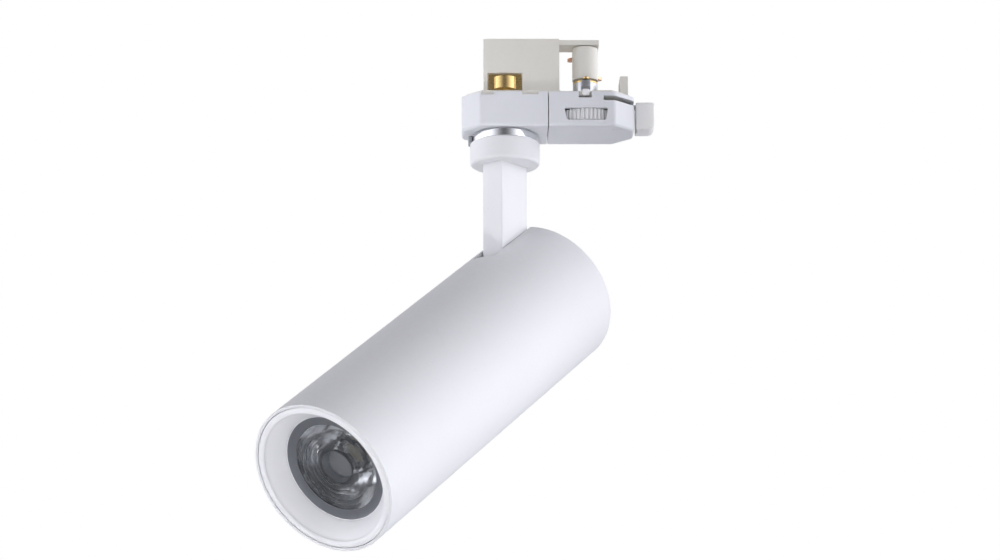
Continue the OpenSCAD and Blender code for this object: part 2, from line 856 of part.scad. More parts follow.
module heat_sink()
    color([0.7, 0.71, 0.73])
    on_head()
    difference() {
        along_tube() disc(sink_r, sink_u[0], sink_u[1]);
        difference() {
            box([sink_u[0] - overcut, -40, -40], [sink_u[1] - sink_base, 40, 40]);
            for (i = [-5:5]) {
                half = i == 0 ? 2.6 : fin_t / 2;
                w = i * fin_pitch;
                box([0, w - half, -50], [200, w + half, 50]);
            }
        }
        for (v = [8, 16]) translate([0, 0, v]) along_tube() disc(screw_r, 80, 100);
        translate([0, sink_gap_w, -13]) along_tube() disc(1.7, 100, 140);
        for (w = [-1, 1]) translate([0, w * 15, 0]) along_tube() disc(screw_r, 124, 140);
    }

pad_u = [sink_u[1], sink_u[1] + 0.3];
board_u = [pad_u[1], pad_u[1] + 1];
emitter_u = [board_u[1], board_u[1] + 0.8];
led_board_half = 9.5;

module thermal_pad()
    color([0.55, 0.6, 0.65])
    on_head()
    box([pad_u[0], -led_board_half, -led_board_half], [pad_u[1], led_board_half, led_board_half]);

module led_board()
    color([0.85, 0.85, 0.82])
    on_head()
    box([board_u[0], -led_board_half, -led_board_half], [board_u[1], led_board_half, led_board_half]);

module led_emitter()
    color([0.95, 0.8, 0.25])
    on_head()
    along_tube() disc(6, emitter_u[0], emitter_u[1]);

holder_u = [sink_u[1], sink_u[1] + 3.6];

module led_holder()
    color(white)
    on_head()
    difference() {
        along_tube() disc(22, holder_u[0], holder_u[1]);
        box([holder_u[0] - overcut, -led_board_half - 0.1, -led_board_half - 0.1],
            [board_u[1] + 0.05, led_board_half + 0.1, led_board_half + 0.1]);
        along_tube() disc(7.4, holder_u[0] - overcut, holder_u[1] + overcut);
        for (w = [-1, 1]) translate([0, w * 15, 0]) along_tube() disc(screw_r + 0.1, 120, 140);
        box([holder_u[0] - overcut, sink_gap_w - 2.4, -15], [holder_u[0] + 2.2, sink_gap_w + 2.4, -9]);
    }

module holder_screws()
    color(steel)
    on_head()
    for (w = [-1, 1])
        translate([holder_u[1], w * 15, 0]) rotate([0, 90, 0]) screw(7.4, screw_r, 2.6, 1.6);

lens_front = tube_len - baffle_depth - 1.4;
lens_back = holder_u[1] + 0.2;
lens_flange_r = 20.6;
well_r = 6.5;
well_deep = 3.5;

// Collimating lens: conical reflecting wall, a cavity over the emitter and a shallow well in its face
module lens()
    color([0.85, 0.9, 0.95, 0.4])
    on_head()
    along_tube()
    rotate_extrude($fn = 96)
    polygon([[0, lens_back + 7.5],
        for (turn = [15:15:90]) [6.6 * sin(turn), lens_back + 5 + 2.5 * cos(turn)],
        [6.6, lens_back], [8, lens_back],
        for (k = [1:6]) [8 + 11 * pow(k / 6, 0.8), lens_back + (lens_front - 1.6 - lens_back) * k / 6],
        [lens_flange_r, lens_front - 1.6], [lens_flange_r, lens_front],
        [well_r, lens_front], [well_r - 0.5, lens_front - well_deep], [0, lens_front - well_deep]]);

module lens_cup()
    color(dark)
    on_head()
    along_tube()
    difference() {
        disc(23.4, holder_u[1], lens_front - 1.6);
        disc(20, holder_u[1] + 3, lens_front);
        disc(19.4, holder_u[1] - overcut, lens_front);
    }

ring_front = tube_len - baffle_depth;
clip_r = 24.9;

module lens_ring()
    color(grey)
    on_head()
    along_tube()
    rotate_extrude($fn = 96)
    polygon([[lens_show_r, lens_front + 0.05], [baffle_inner_r, ring_front], [clip_r, ring_front],
             [clip_r, lens_front - 1.6], [lens_flange_r + 0.1, lens_front - 1.6],
             [lens_flange_r + 0.1, lens_front + 0.05]]);

rim_r = bore_r - 0.25;
lip_r = 0.9;

// White baffle: rolled lip at the rim, then a cone down to the lens ring
module front_baffle()
    color(white)
    on_head()
    along_tube()
    rotate_extrude($fn = 128)
    polygon([[baffle_inner_r, ring_front],
        [baffle_mouth_r, tube_len - 0.8],
        for (turn = [15:15:75]) [baffle_mouth_r + 0.9 * (1 - cos(turn)), tube_len - 0.8 + 0.8 * sin(turn)],
        [baffle_mouth_r + lip_r, tube_len],
        for (turn = [0:15:90]) [rim_r - 0.6 + 0.6 * sin(turn), tube_len - 0.6 + 0.6 * cos(turn)],
        [rim_r, tube_len - 6], [rim_r - 1.2, tube_len - 6], [rim_r - 1.2, tube_len - 2],
        [baffle_inner_r + 1.4, ring_front]]);

// Three leaf clips that hold the baffle to the lens ring
module baffle_clips()
    color(steel)
    on_head()
    for (i = [0:2])
        along_tube()
        rotate([0, 0, 30 + i * 120]) {
            box([clip_r, -3, ring_front - 2.6], [clip_r + 0.6, 3, tube_len - 6]);
            box([clip_r, -3, tube_len - 6.6], [clip_r + 3.1, 3, tube_len - 6]);
        }

cover_lamp_end();
cover_lever_end();
adapter_chassis();
chassis_screws();
earth_contacts();
terminal_block();
terminal_screws();
adapter_leads();
bearing_ring();
stop_block();
catch_spring();
catch_plunger();
selector_wheel();
selector_rotor();
phase_contacts();
lever_tab();
lock_cam();
neutral_contact();
collar();
stem();
stem_screws();
stem_leads();
hollow_nipple();
nipple_nut();
friction_washer();
stop_washer();
housing_tube();
rear_cap();
rear_cap_screws();
tilt_bracket();
bracket_screws();
pivot_bolt();
pivot_nut();
pivot_washers();
gear_tray();
tray_screws();
driver_case();
driver_lid();
driver_board();
driver_parts();
supply_leads();
led_leads();
heat_sink();
thermal_pad();
led_board();
led_emitter();
led_holder();
holder_screws();
lens();
lens_cup();
lens_ring();
front_baffle();
baffle_clips();
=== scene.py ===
"""Finished looks of the track spotlight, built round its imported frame. Local measures are in millimetres."""

import json
import math

import bmesh
import bpy
from mathutils import Matrix, Vector

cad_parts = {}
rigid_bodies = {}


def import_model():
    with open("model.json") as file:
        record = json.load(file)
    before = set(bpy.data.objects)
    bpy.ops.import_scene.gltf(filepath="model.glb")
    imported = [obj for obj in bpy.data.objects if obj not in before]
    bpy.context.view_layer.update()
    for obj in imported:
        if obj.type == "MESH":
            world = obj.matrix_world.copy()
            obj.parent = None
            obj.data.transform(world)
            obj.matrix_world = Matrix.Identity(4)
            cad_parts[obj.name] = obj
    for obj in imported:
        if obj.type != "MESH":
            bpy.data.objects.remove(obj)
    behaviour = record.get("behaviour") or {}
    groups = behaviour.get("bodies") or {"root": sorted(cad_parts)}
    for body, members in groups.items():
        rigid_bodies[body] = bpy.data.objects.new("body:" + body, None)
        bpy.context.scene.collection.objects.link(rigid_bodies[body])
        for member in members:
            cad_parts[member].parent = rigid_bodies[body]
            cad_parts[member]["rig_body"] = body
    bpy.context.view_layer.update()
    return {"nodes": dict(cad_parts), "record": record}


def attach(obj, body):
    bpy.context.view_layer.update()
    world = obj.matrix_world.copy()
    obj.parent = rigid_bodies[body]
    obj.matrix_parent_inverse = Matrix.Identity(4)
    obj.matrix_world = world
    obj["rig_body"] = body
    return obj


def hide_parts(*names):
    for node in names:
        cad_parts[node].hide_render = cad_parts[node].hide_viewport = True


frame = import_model()


# ---------- places ----------


def turn(axis, degrees):
    return Matrix.Rotation(math.radians(degrees), 4, axis)


def shift(x=0.0, y=0.0, z=0.0):
    return Matrix.Translation((x, y, z))


MM = 0.001
PAN = 39.5
TILT = 35.0
PIVOT_DROP = 74.0
PIVOT_U = 20.2
PIVOT_V = 17.2

ADAPTER = Matrix.Scale(MM, 4)
SWIVEL = ADAPTER @ turn("Z", -90 - PAN)
HEAD = SWIVEL @ shift(z=-PIVOT_DROP) @ turn("Y", TILT) @ shift(-PIVOT_U, 0, -PIVOT_V)
# In the barrel's own frame X is the tilt axis, Y the tube's top and Z runs forward from its rear end
BARREL = HEAD @ turn("Y", 90) @ turn("Z", 90)


# ---------- shader groups ----------


def shader_group(name, inputs, outputs):
    """An empty shader group with named inputs, each a (name, kind, value), and named outputs."""
    tree = bpy.data.node_groups.new(name, "ShaderNodeTree")
    for label, kind, value in inputs:
        socket = tree.interface.new_socket(label, in_out="INPUT", socket_type=kind)
        if value is not None:
            socket.default_value = value
    for label, kind in outputs:
        tree.interface.new_socket(label, in_out="OUTPUT", socket_type=kind)
    start = tree.nodes.new("NodeGroupInput")
    end = tree.nodes.new("NodeGroupOutput")
    return tree, start, end


def node(tree, kind, links=(), **settings):
    """A node with its settings, and its inputs given as (socket, value or output socket)."""
    made = tree.nodes.new(kind)
    for key, value in settings.items():
        setattr(made, key, value)
    for socket, value in links:
        if isinstance(value, bpy.types.NodeSocket):
            tree.links.new(value, made.inputs[socket])
        else:
            made.inputs[socket].default_value = value
    return made


def sums(tree, operation, a, b=None, c=None):
    """One Math node's output."""
    values = [(i, v) for i, v in enumerate((a, b, c)) if v is not None]
    return node(tree, "ShaderNodeMath", values, operation=operation).outputs[0]


def noise(tree, vector, scale, detail=2.0, rough=0.5):
    links = [("Vector", vector), ("Scale", scale), ("Detail", detail), ("Roughness", rough)]
    return node(tree, "ShaderNodeTexNoise", links).outputs["Fac"]


def ramp(tree, value, low, high):
    """Maps low to high onto 0 to 1, and holds at the ends."""
    links = [("Value", value), ("From Min", low), ("From Max", high)]
    return node(tree, "ShaderNodeMapRange", links).outputs[0]


def make_moulded_grain():
    """Fine spark-eroded texture of a moulded plastic, with slow flow marks in its tone."""
    tree, start, end = shader_group(
        "moulded_grain",
        [
            ("Place", "NodeSocketVector", None),
            ("Grain", "NodeSocketFloat", 2600.0),
            ("Flow", "NodeSocketFloat", 60.0),
        ],
        [("Height", "NodeSocketFloat"), ("Tone", "NodeSocketFloat")],
    )
    place, grain = start.outputs["Place"], start.outputs["Grain"]
    fine = noise(tree, place, grain, 3.0, 0.6)
    cells = node(tree, "ShaderNodeTexVoronoi", [("Vector", place), ("Scale", grain)])
    flow = noise(tree, place, start.outputs["Flow"], 3.0, 0.55)
    height = sums(tree, "MULTIPLY_ADD", cells.outputs["Distance"], 0.5, fine)
    tree.links.new(height, end.inputs["Height"])
    tree.links.new(flow, end.inputs["Tone"])
    return tree


def make_powder_peel():
    """Orange peel of a powder coat: a long soft wave with a fine grain on it, and faint cloudiness."""
    tree, start, end = shader_group(
        "powder_peel",
        [
            ("Place", "NodeSocketVector", None),
            ("Wave", "NodeSocketFloat", 750.0),
            ("Grain", "NodeSocketFloat", 5200.0),
        ],
        [("Height", "NodeSocketFloat"), ("Tone", "NodeSocketFloat"), ("Speck", "NodeSocketFloat")],
    )
    place = start.outputs["Place"]
    wave = noise(tree, place, start.outputs["Wave"], 2.0, 0.5)
    grain = noise(tree, place, start.outputs["Grain"], 2.0, 0.6)
    cloud = noise(tree, place, 28.0, 4.0, 0.55)
    specks = noise(tree, place, 1900.0, 1.0, 0.5)
    dark = ramp(tree, specks, 0.70, 0.78)
    tree.links.new(sums(tree, "MULTIPLY_ADD", grain, 0.22, wave), end.inputs["Height"])
    tree.links.new(cloud, end.inputs["Tone"])
    tree.links.new(dark, end.inputs["Speck"])
    return tree


def make_turned_lines():
    """Fine tool lines round the Z axis of the given place, both on faces and on walls."""
    tree, start, end = shader_group(
        "turned_lines",
        [("Place", "NodeSocketVector", None), ("Pitch", "NodeSocketFloat", 0.00025)],
        [("Height", "NodeSocketFloat"), ("Tone", "NodeSocketFloat")],
    )
    place = start.outputs["Place"]
    parts = node(tree, "ShaderNodeSeparateXYZ", [(0, place)]).outputs
    squares = [sums(tree, "MULTIPLY", part, part) for part in (parts[0], parts[1])]
    radius = sums(tree, "SQRT", sums(tree, "ADD", *squares))
    along = sums(tree, "ADD", radius, parts[2])
    step = sums(tree, "DIVIDE", along, start.outputs["Pitch"])
    wobble = noise(tree, place, 900.0, 2.0, 0.5)
    line = sums(tree, "SINE", sums(tree, "MULTIPLY_ADD", wobble, 2.5, step))
    band_place = node(tree, "ShaderNodeCombineXYZ", [(0, along)]).outputs[0]
    band = noise(tree, band_place, 1400.0, 3.0, 0.6)
    tree.links.new(sums(tree, "MULTIPLY_ADD", line, 0.4, band), end.inputs["Height"])
    tree.links.new(band, end.inputs["Tone"])
    return tree


def make_dust_film():
    """Mask of thin dust that settles on faces that look up."""
    tree, start, end = shader_group(
        "dust_film",
        [("Place", "NodeSocketVector", None), ("Amount", "NodeSocketFloat", 0.3)],
        [("Mask", "NodeSocketFloat")],
    )
    normal = node(tree, "ShaderNodeNewGeometry").outputs["Normal"]
    up = node(tree, "ShaderNodeSeparateXYZ", [(0, normal)]).outputs[2]
    facing = ramp(tree, up, 0.25, 1.0)
    patch = noise(tree, start.outputs["Place"], 420.0, 5.0, 0.62)
    cover = ramp(tree, patch, 0.38, 0.72)
    amount = sums(tree, "MULTIPLY", start.outputs["Amount"], sums(tree, "MULTIPLY", facing, cover))
    tree.links.new(amount, end.inputs["Mask"])
    return tree


def make_edge_rub():
    """Mask of handled edges, from how sharply the surface bends."""
    tree, start, end = shader_group(
        "edge_rub",
        [("Place", "NodeSocketVector", None), ("Amount", "NodeSocketFloat", 0.4)],
        [("Mask", "NodeSocketFloat")],
    )
    bend = node(tree, "ShaderNodeNewGeometry").outputs["Pointiness"]
    edge = ramp(tree, bend, 0.53, 0.62)
    broken = noise(tree, start.outputs["Place"], 700.0, 4.0, 0.6)
    mask = sums(tree, "MULTIPLY", start.outputs["Amount"], sums(tree, "MULTIPLY", edge, broken))
    tree.links.new(mask, end.inputs["Mask"])
    return tree


moulded_grain = make_moulded_grain()
powder_peel = make_powder_peel()
turned_lines = make_turned_lines()
dust_film = make_dust_film()
edge_rub = make_edge_rub()


# ---------- materials ----------


def shader(name):
    """A new material, its tree, its Principled shader and the object's own coordinates."""
    material = bpy.data.materials.new(name)
    material.use_nodes = True
    tree = material.node_tree
    principled = tree.nodes["Principled BSDF"]
    place = node(tree, "ShaderNodeTexCoord").outputs["Object"]
    return material, tree, principled, place


def blend_colour(tree, mask, a, b):
    made = node(tree, "ShaderNodeMix", data_type="RGBA")
    for socket, value in ((0, mask), (6, a), (7, b)):
        if isinstance(value, bpy.types.NodeSocket):
            tree.links.new(value, made.inputs[socket])
        else:
            made.inputs[socket].default_value = value if socket == 0 else (*value, 1.0)
    return made.outputs[2]


def effect(tree, group, place, **values):
    made = node(tree, "ShaderNodeGroup", node_tree=group)
    tree.links.new(place, made.inputs["Place"])
    for key, value in values.items():
        made.inputs[key].default_value = value
    return made.outputs


def span(tree, value, low, high):
    """Maps 0 to 1 onto low to high."""
    return node(tree, "ShaderNodeMapRange", [("Value", value), ("To Min", low), ("To Max", high)]).outputs[0]


def relief(tree, principled, height, depth, strength=1.0):
    bump = node(tree, "ShaderNodeBump", [("Strength", strength), ("Distance", depth), ("Height", height)])
    tree.links.new(bump.outputs[0], principled.inputs["Normal"])


def moulded(name, colour, rough, grain=2600.0, depth=0.000012, dust=0.25, subsurface=0.0, level=0.5):
    """Moulded plastic: eroded grain, flow marks in tone and gloss, a little dust and paler rubbed edges."""
    material, tree, principled, place = shader(name)
    grained = effect(tree, moulded_grain, place, Grain=grain)
    dusty = effect(tree, dust_film, place, Amount=dust)["Mask"]
    rubbed = effect(tree, edge_rub, place, Amount=0.35)["Mask"]
    shade = tuple(c * 0.94 for c in colour)
    base = blend_colour(tree, span(tree, grained["Tone"], 0.0, 1.0), colour, shade)
    base = blend_colour(tree, rubbed, base, tuple(min(1.0, c * 1.08 + 0.02) for c in colour))
    base = blend_colour(tree, dusty, base, (0.62, 0.6, 0.56))
    tree.links.new(base, principled.inputs["Base Color"])
    gloss = span(tree, grained["Tone"], rough - 0.06, rough + 0.06)
    tree.links.new(sums(tree, "MULTIPLY_ADD", dusty, 0.4, gloss), principled.inputs["Roughness"])
    principled.inputs["Specular IOR Level"].default_value = level
    principled.inputs["Subsurface Weight"].default_value = subsurface
    principled.inputs["Subsurface Radius"].default_value = (0.003, 0.0028, 0.0024)
    principled.inputs["Subsurface Scale"].default_value = 1.0
    relief(tree, principled, grained["Height"], depth)
    return material


def powder_coated(name, colour, rough):
    """Matt powder coat on aluminium, with orange peel, cloudiness and a few specks."""
    material, tree, principled, place = shader(name)
    peel = effect(tree, powder_peel, place)
    dusty = effect(tree, dust_film, place, Amount=0.22)["Mask"]
    base = blend_colour(tree, peel["Tone"], colour, tuple(c * 0.965 for c in colour))
    specks = sums(tree, "MULTIPLY", peel["Speck"], 0.25)
    base = blend_colour(tree, specks, base, tuple(c * 0.6 for c in colour))
    base = blend_colour(tree, dusty, base, (0.66, 0.64, 0.6))
    tree.links.new(base, principled.inputs["Base Color"])
    gloss = span(tree, peel["Tone"], rough - 0.05, rough + 0.05)
    tree.links.new(sums(tree, "MULTIPLY_ADD", dusty, 0.3, gloss), principled.inputs["Roughness"])
    principled.inputs["Specular IOR Level"].default_value = 0.42
    relief(tree, principled, peel["Height"], 0.00002)
    return material


def frame_place(tree, place, frame_matrix):
    """The object's coordinates seen in another frame, still in metres, through two Mapping nodes."""
    spin = frame_matrix.to_3x3().normalized().to_4x4().inverted()
    move = -(frame_matrix.translation)
    moved = node(tree, "ShaderNodeMapping", [("Vector", place), ("Location", move)]).outputs[0]
    return node(tree, "ShaderNodeMapping", [("Vector", moved), ("Rotation", spin.to_euler())]).outputs[0]


def turned_metal(name, colour, rough, pitch, depth, about=ADAPTER, patina=0.0):
    """Turned metal with fine tool lines round its axis, uneven polish and handled edges."""
    material, tree, principled, place = shader(name)
    lines = effect(tree, turned_lines, frame_place(tree, place, about), Pitch=pitch)
    cloud = noise(tree, place, 260.0, 4.0, 0.6)
    rubbed = effect(tree, edge_rub, place, Amount=0.5)["Mask"]
    base = blend_colour(tree, span(tree, cloud, 0.0, 1.0), colour, tuple(c * (0.88 - patina) for c in colour))
    base = blend_colour(tree, rubbed, base, tuple(min(1.0, c * 1.15) for c in colour))
    tree.links.new(base, principled.inputs["Base Color"])
    principled.inputs["Metallic"].default_value = 1.0
    tree.links.new(span(tree, lines["Tone"], rough - 0.05, rough + 0.1), principled.inputs["Roughness"])
    relief(tree, principled, lines["Height"], depth)
    return material


def plated_sheet(name, colour, rough, tint):
    """Zinc or nickel plated sheet: spangle, faint colour shift and fine scratches."""
    material, tree, principled, place = shader(name)
    spangle = node(tree, "ShaderNodeTexVoronoi", [("Vector", place), ("Scale", 900.0)])
    cell = node(tree, "ShaderNodeSeparateXYZ", [(0, spangle.outputs["Color"])]).outputs[0]
    stretched = node(tree, "ShaderNodeMapping", [("Vector", place), ("Scale", (1.0, 14.0, 3.0))]).outputs[0]
    scratches = noise(tree, stretched, 700.0, 3.0, 0.7)
    rubbed = effect(tree, edge_rub, place, Amount=0.5)["Mask"]
    base = blend_colour(tree, cell, colour, tint)
    base = blend_colour(tree, rubbed, base, tuple(min(1.0, c * 1.2) for c in colour))
    tree.links.new(base, principled.inputs["Base Color"])
    principled.inputs["Metallic"].default_value = 1.0
    tree.links.new(span(tree, scratches, rough - 0.1, rough + 0.12), principled.inputs["Roughness"])
    relief(tree, principled, sums(tree, "MULTIPLY_ADD", cell, 0.3, scratches), 0.000008)
    return material


def printed_board(name, colour, copper):
    """Coated circuit board with tracks under the mask."""
    material, tree, principled, place = shader(name)
    brick = node(tree, "ShaderNodeTexBrick", [("Vector", place), ("Scale", 260.0), ("Mortar Size", 0.06)])
    weave = noise(tree, place, 1500.0, 2.0, 0.5)
    base = blend_colour(tree, sums(tree, "MULTIPLY", brick.outputs["Fac"], 0.6), colour, copper)
    base = blend_colour(tree, sums(tree, "MULTIPLY", weave, 0.3), base, tuple(c * 0.6 for c in colour))
    tree.links.new(base, principled.inputs["Base Color"])
    tree.links.new(span(tree, weave, 0.25, 0.45), principled.inputs["Roughness"])
    relief(tree, principled, brick.outputs["Fac"], 0.00003)
    return material


def phosphor_gel(name):
    """Yellow phosphor gel with fine grains, seen under the lens."""
    material, tree, principled, place = shader(name)
    grains = node(tree, "ShaderNodeTexVoronoi", [("Vector", place), ("Scale", 2400.0)]).outputs["Distance"]
    base = blend_colour(tree, grains, (0.5, 0.44, 0.3), (0.34, 0.3, 0.2))
    tree.links.new(base, principled.inputs["Base Color"])
    tree.links.new(span(tree, grains, 0.3, 0.6), principled.inputs["Roughness"])
    relief(tree, principled, grains, 0.00004)
    return material


def clear_optic(name):
    """Clear moulded optic with a faint ripple and a slightly uneven polish."""
    material, tree, principled, place = shader(name)
    ripple = noise(tree, place, 900.0, 2.0, 0.5)
    principled.inputs["Transmission Weight"].default_value = 1.0
    principled.inputs["IOR"].default_value = 1.49
    base = blend_colour(tree, ripple, (0.93, 0.95, 0.97), (0.86, 0.89, 0.92))
    tree.links.new(base, principled.inputs["Base Color"])
    tree.links.new(span(tree, ripple, 0.08, 0.16), principled.inputs["Roughness"])
    relief(tree, principled, ripple, 0.00001)
    return material


def insulated_lead(name):
    """Brown, blue and green insulation side by side, with a faint print of wear."""
    material, tree, principled, place = shader(name)
    tilt_axis = (0.7716, -0.6361, 0.0)
    dot = node(tree, "ShaderNodeVectorMath", [(0, place), (1, tilt_axis)], operation="DOT_PRODUCT")
    across = span(tree, sums(tree, "MULTIPLY", dot.outputs["Value"], 250.0), 0.5, 1.5)
    colours = node(tree, "ShaderNodeValToRGB", [("Fac", across)])
    colours.color_ramp.interpolation = "CONSTANT"
    stops = colours.color_ramp.elements
    stops[0].color = (0.16, 0.07, 0.03, 1.0)
    stops[1].position = 0.62
    stops[1].color = (0.1, 0.28, 0.06, 1.0)
    middle = stops.new(0.38)
    middle.color = (0.03, 0.09, 0.42, 1.0)
    grime = noise(tree, place, 900.0, 4.0, 0.6)
    faint = sums(tree, "MULTIPLY", grime, 0.3)
    base = blend_colour(tree, faint, colours.outputs["Color"], (0.1, 0.1, 0.1))
    tree.links.new(base, principled.inputs["Base Color"])
    tree.links.new(span(tree, grime, 0.35, 0.6), principled.inputs["Roughness"])
    relief(tree, principled, grime, 0.00002)
    return material


finish = {
    "cover_white": moulded("cover_white", (0.80, 0.81, 0.84), 0.42, 2600.0, 0.000010),
    "chassis_nylon": moulded("chassis_nylon", (0.82, 0.80, 0.73), 0.5, 1800.0, 0.000016, 0.4),
    "wheel_white": moulded("wheel_white", (0.86, 0.86, 0.86), 0.34, 3200.0, 0.000006, 0.2, 0.15),
    "tab_plastic": moulded("tab_plastic", (0.96, 0.955, 0.935), 0.32, 2200.0, 0.000008, 0.1, 0.6),
    "powder_white": powder_coated("powder_white", (0.82, 0.825, 0.84), 0.5),
    "cap_white": moulded("cap_white", (0.93, 0.93, 0.945), 0.36, 2400.0, 0.000006, 0.2),
    "polished_metal": turned_metal("polished_metal", (0.82, 0.83, 0.85), 0.14, 0.00022, 0.000002),
    "zinc_steel": plated_sheet("zinc_steel", (0.62, 0.63, 0.65), 0.32, (0.54, 0.56, 0.6)),
    "plated_nipple": turned_metal("plated_nipple", (0.72, 0.68, 0.6), 0.25, 0.0005, 0.00003),
    "contact_brass": plated_sheet("contact_brass", (0.75, 0.55, 0.24), 0.28, (0.68, 0.48, 0.2)),
    "contact_copper": plated_sheet("contact_copper", (0.78, 0.45, 0.3), 0.26, (0.66, 0.36, 0.24)),
    "grey_plastic": moulded("grey_plastic", (0.36, 0.37, 0.39), 0.5, 2000.0, 0.000012, 0.2),
    "lens_trim": turned_metal("lens_trim", (0.27, 0.28, 0.3), 0.3, 0.0003, 0.000003, BARREL, 0.05),
    "dark_plastic": moulded("dark_plastic", (0.05, 0.05, 0.055), 0.42, 2000.0, 0.000014, 0.15),
    "washer_black": moulded("washer_black", (0.03, 0.03, 0.032), 0.35, 2400.0, 0.00001, 0.1),
    "lead_sheath": insulated_lead("lead_sheath"),
    "board_green": printed_board("board_green", (0.03, 0.2, 0.08), (0.1, 0.32, 0.14)),
    "board_parts": moulded("board_parts", (0.5, 0.44, 0.12), 0.4, 1500.0, 0.00002, 0.1),
    "bare_aluminium": plated_sheet("bare_aluminium", (0.74, 0.75, 0.77), 0.36, (0.68, 0.69, 0.72)),
    "thermal_grey": moulded("thermal_grey", (0.3, 0.33, 0.37), 0.7, 1400.0, 0.00003, 0.0),
    "ceramic": moulded("ceramic", (0.8, 0.8, 0.76), 0.45, 3000.0, 0.000008, 0.0),
    "phosphor": phosphor_gel("phosphor"),
    "lens_clear": clear_optic("lens_clear"),
    # painted highlight: pale opaque finish for the beads in the lens well, which are clear optic in the lens
    # itself
    "lens_bead": moulded("lens_bead", (0.93, 0.94, 0.96), 0.16, 3000.0, 0.000002, 0.0),
    # painted shade: dark finish for the floor of the lens well, standing in for the shade seen there through
    # the clear lens
    "lens_well": moulded("lens_well", (0.09, 0.095, 0.105), 0.2, 3000.0, 0.000002, 0.0),
}


# ---------- shapes ----------


def solid(name, points, faces):
    """A mesh piece from points and faces, with its faces turned outwards."""
    mesh = bpy.data.meshes.new(name)
    mesh.from_pydata([tuple(p) for p in points], [], faces)
    work = bmesh.new()
    work.from_mesh(mesh)
    bmesh.ops.recalc_face_normals(work, faces=work.faces)
    work.to_mesh(mesh)
    work.free()
    piece = bpy.data.objects.new(name, mesh)
    bpy.context.scene.collection.objects.link(piece)
    return piece


def lathe(name, outline, turns=96, wave=None):
    """Turns a closed outline of (radius, height) about Z. wave(step, turn) may add to a radius."""
    points, rings = [], []
    for step, (radius, height) in enumerate(outline):
        start = len(points)
        if radius < 1e-6:
            points.append((0.0, 0.0, height))
            rings.append([start])
            continue
        for k in range(turns):
            r = radius + (wave(step, k) if wave else 0.0)
            a = math.tau * k / turns
            points.append((r * math.cos(a), r * math.sin(a), height))
        rings.append(list(range(start, start + turns)))
    faces = []
    for low, high in zip(rings, rings[1:] + rings[:1]):
        for k in range(turns):
            m = (k + 1) % turns
            if len(low) > 1 and len(high) > 1:
                faces.append((low[k], low[m], high[m], high[k]))
            elif len(low) > 1:
                faces.append((low[k], low[m], high[0]))
            elif len(high) > 1:
                faces.append((low[0], high[m], high[k]))
    return solid(name, points, faces)


def loft(name, rings):
    """Joins rings with the same number of points, and closes both ends."""
    count = len(rings[0])
    points = [p for ring in rings for p in ring]
    faces = [tuple(range(count)), tuple(range(len(points) - count, len(points)))]
    for i in range(len(rings) - 1):
        for k in range(count):
            m = (k + 1) % count
            faces.append((i * count + k, i * count + m, (i + 1) * count + m, (i + 1) * count + k))
    return solid(name, points, faces)


def prism(outline, low, high, name="tool"):
    """An outline in X and Y, raised from low to high."""
    return loft(name, [[(x, y, low) for x, y in outline], [(x, y, high) for x, y in outline]])


def block(low, high, name="tool"):
    (x0, y0, z0), (x1, y1, z1) = low, high
    return prism([(x0, y0), (x1, y0), (x1, y1), (x0, y1)], z0, z1, name)


def round_bar(radius, low, high, x=0.0, y=0.0, sides=48, name="tool"):
    angles = [math.tau * k / sides for k in range(sides)]
    ring = [(x + radius * math.cos(a), y + radius * math.sin(a)) for a in angles]
    return prism(ring, low, high, name)


def laid(piece, matrix):
    """Moves a piece's mesh."""
    piece.data.transform(matrix)
    return piece


def arc(cx, cy, radius, start, end, steps=5):
    """Points of an arc about (cx, cy), angles in degrees."""
    angles = [math.radians(start + (end - start) * k / steps) for k in range(steps + 1)]
    return [(cx + radius * math.cos(a), cy + radius * math.sin(a)) for a in angles]


def rounded(corners, radii, steps=5):
    """An outline with each corner rounded by its own radius."""
    out = []
    for i, corner in enumerate(corners):
        p = Vector(corner)
        before = (Vector(corners[i - 1]) - p).normalized()
        after = (Vector(corners[(i + 1) % len(corners)]) - p).normalized()
        half = before.angle(after) / 2
        reach = radii[i] / math.tan(half)
        centre = p + (before + after).normalized() * (radii[i] / math.sin(half))
        first, last = p + before * reach - centre, p + after * reach - centre
        sweep = first.angle_signed(last)
        for k in range(steps + 1):
            a = -sweep * k / steps
            c, s = math.cos(a), math.sin(a)
            out.append((centre.x + first.x * c - first.y * s, centre.y + first.x * s + first.y * c))
    return out


def settle(piece):
    """Makes a piece's modifiers part of its mesh."""
    graph = bpy.context.evaluated_depsgraph_get()
    mesh = bpy.data.meshes.new_from_object(piece.evaluated_get(graph))
    old = piece.data
    piece.modifiers.clear()
    piece.data = mesh
    mesh.name = piece.name
    bpy.data.meshes.remove(old)
    return piece


def carve(piece, cut=(), add=()):
    """Cuts tools out of a piece, after the added solids have become part of it."""
    for tools, operation in ((add, "UNION"), (cut, "DIFFERENCE")):
        for tool in tools:
            change = piece.modifiers.new(operation, "BOOLEAN")
            change.operation = operation
            change.solver = "EXACT"
            change.object = tool
    settle(piece)
    for tool in (*add, *cut):
        bpy.data.objects.remove(tool)
    return piece


def soften(piece, width, steps=2, angle=38):
    """Rounds the piece's sharp edges."""
    work = bmesh.new()
    work.from_mesh(piece.data)
    bmesh.ops.remove_doubles(work, verts=work.verts, dist=width * 0.02)
    bmesh.ops.dissolve_limit(work, angle_limit=math.radians(0.6), verts=work.verts, edges=work.edges)
    work.to_mesh(piece.data)
    work.free()
    bevel = piece.modifiers.new("soften", "BEVEL")
    bevel.width = width
    bevel.segments = steps
    bevel.limit_method = "ANGLE"
    bevel.angle_limit = math.radians(angle)
    return settle(piece)


def smooth(piece, angle=40):
    """Shades smoothly up to an angle, with large faces kept flat."""
    piece.data.shade_smooth()
    piece.data.set_sharp_from_angle(angle=math.radians(angle))
    weighted = piece.modifiers.new("weighted", "WEIGHTED_NORMAL")
    weighted.keep_sharp = True
    return settle(piece)


slot_of = {part["node"]: part["material_slot"] for part in frame["record"]["subparts"]}


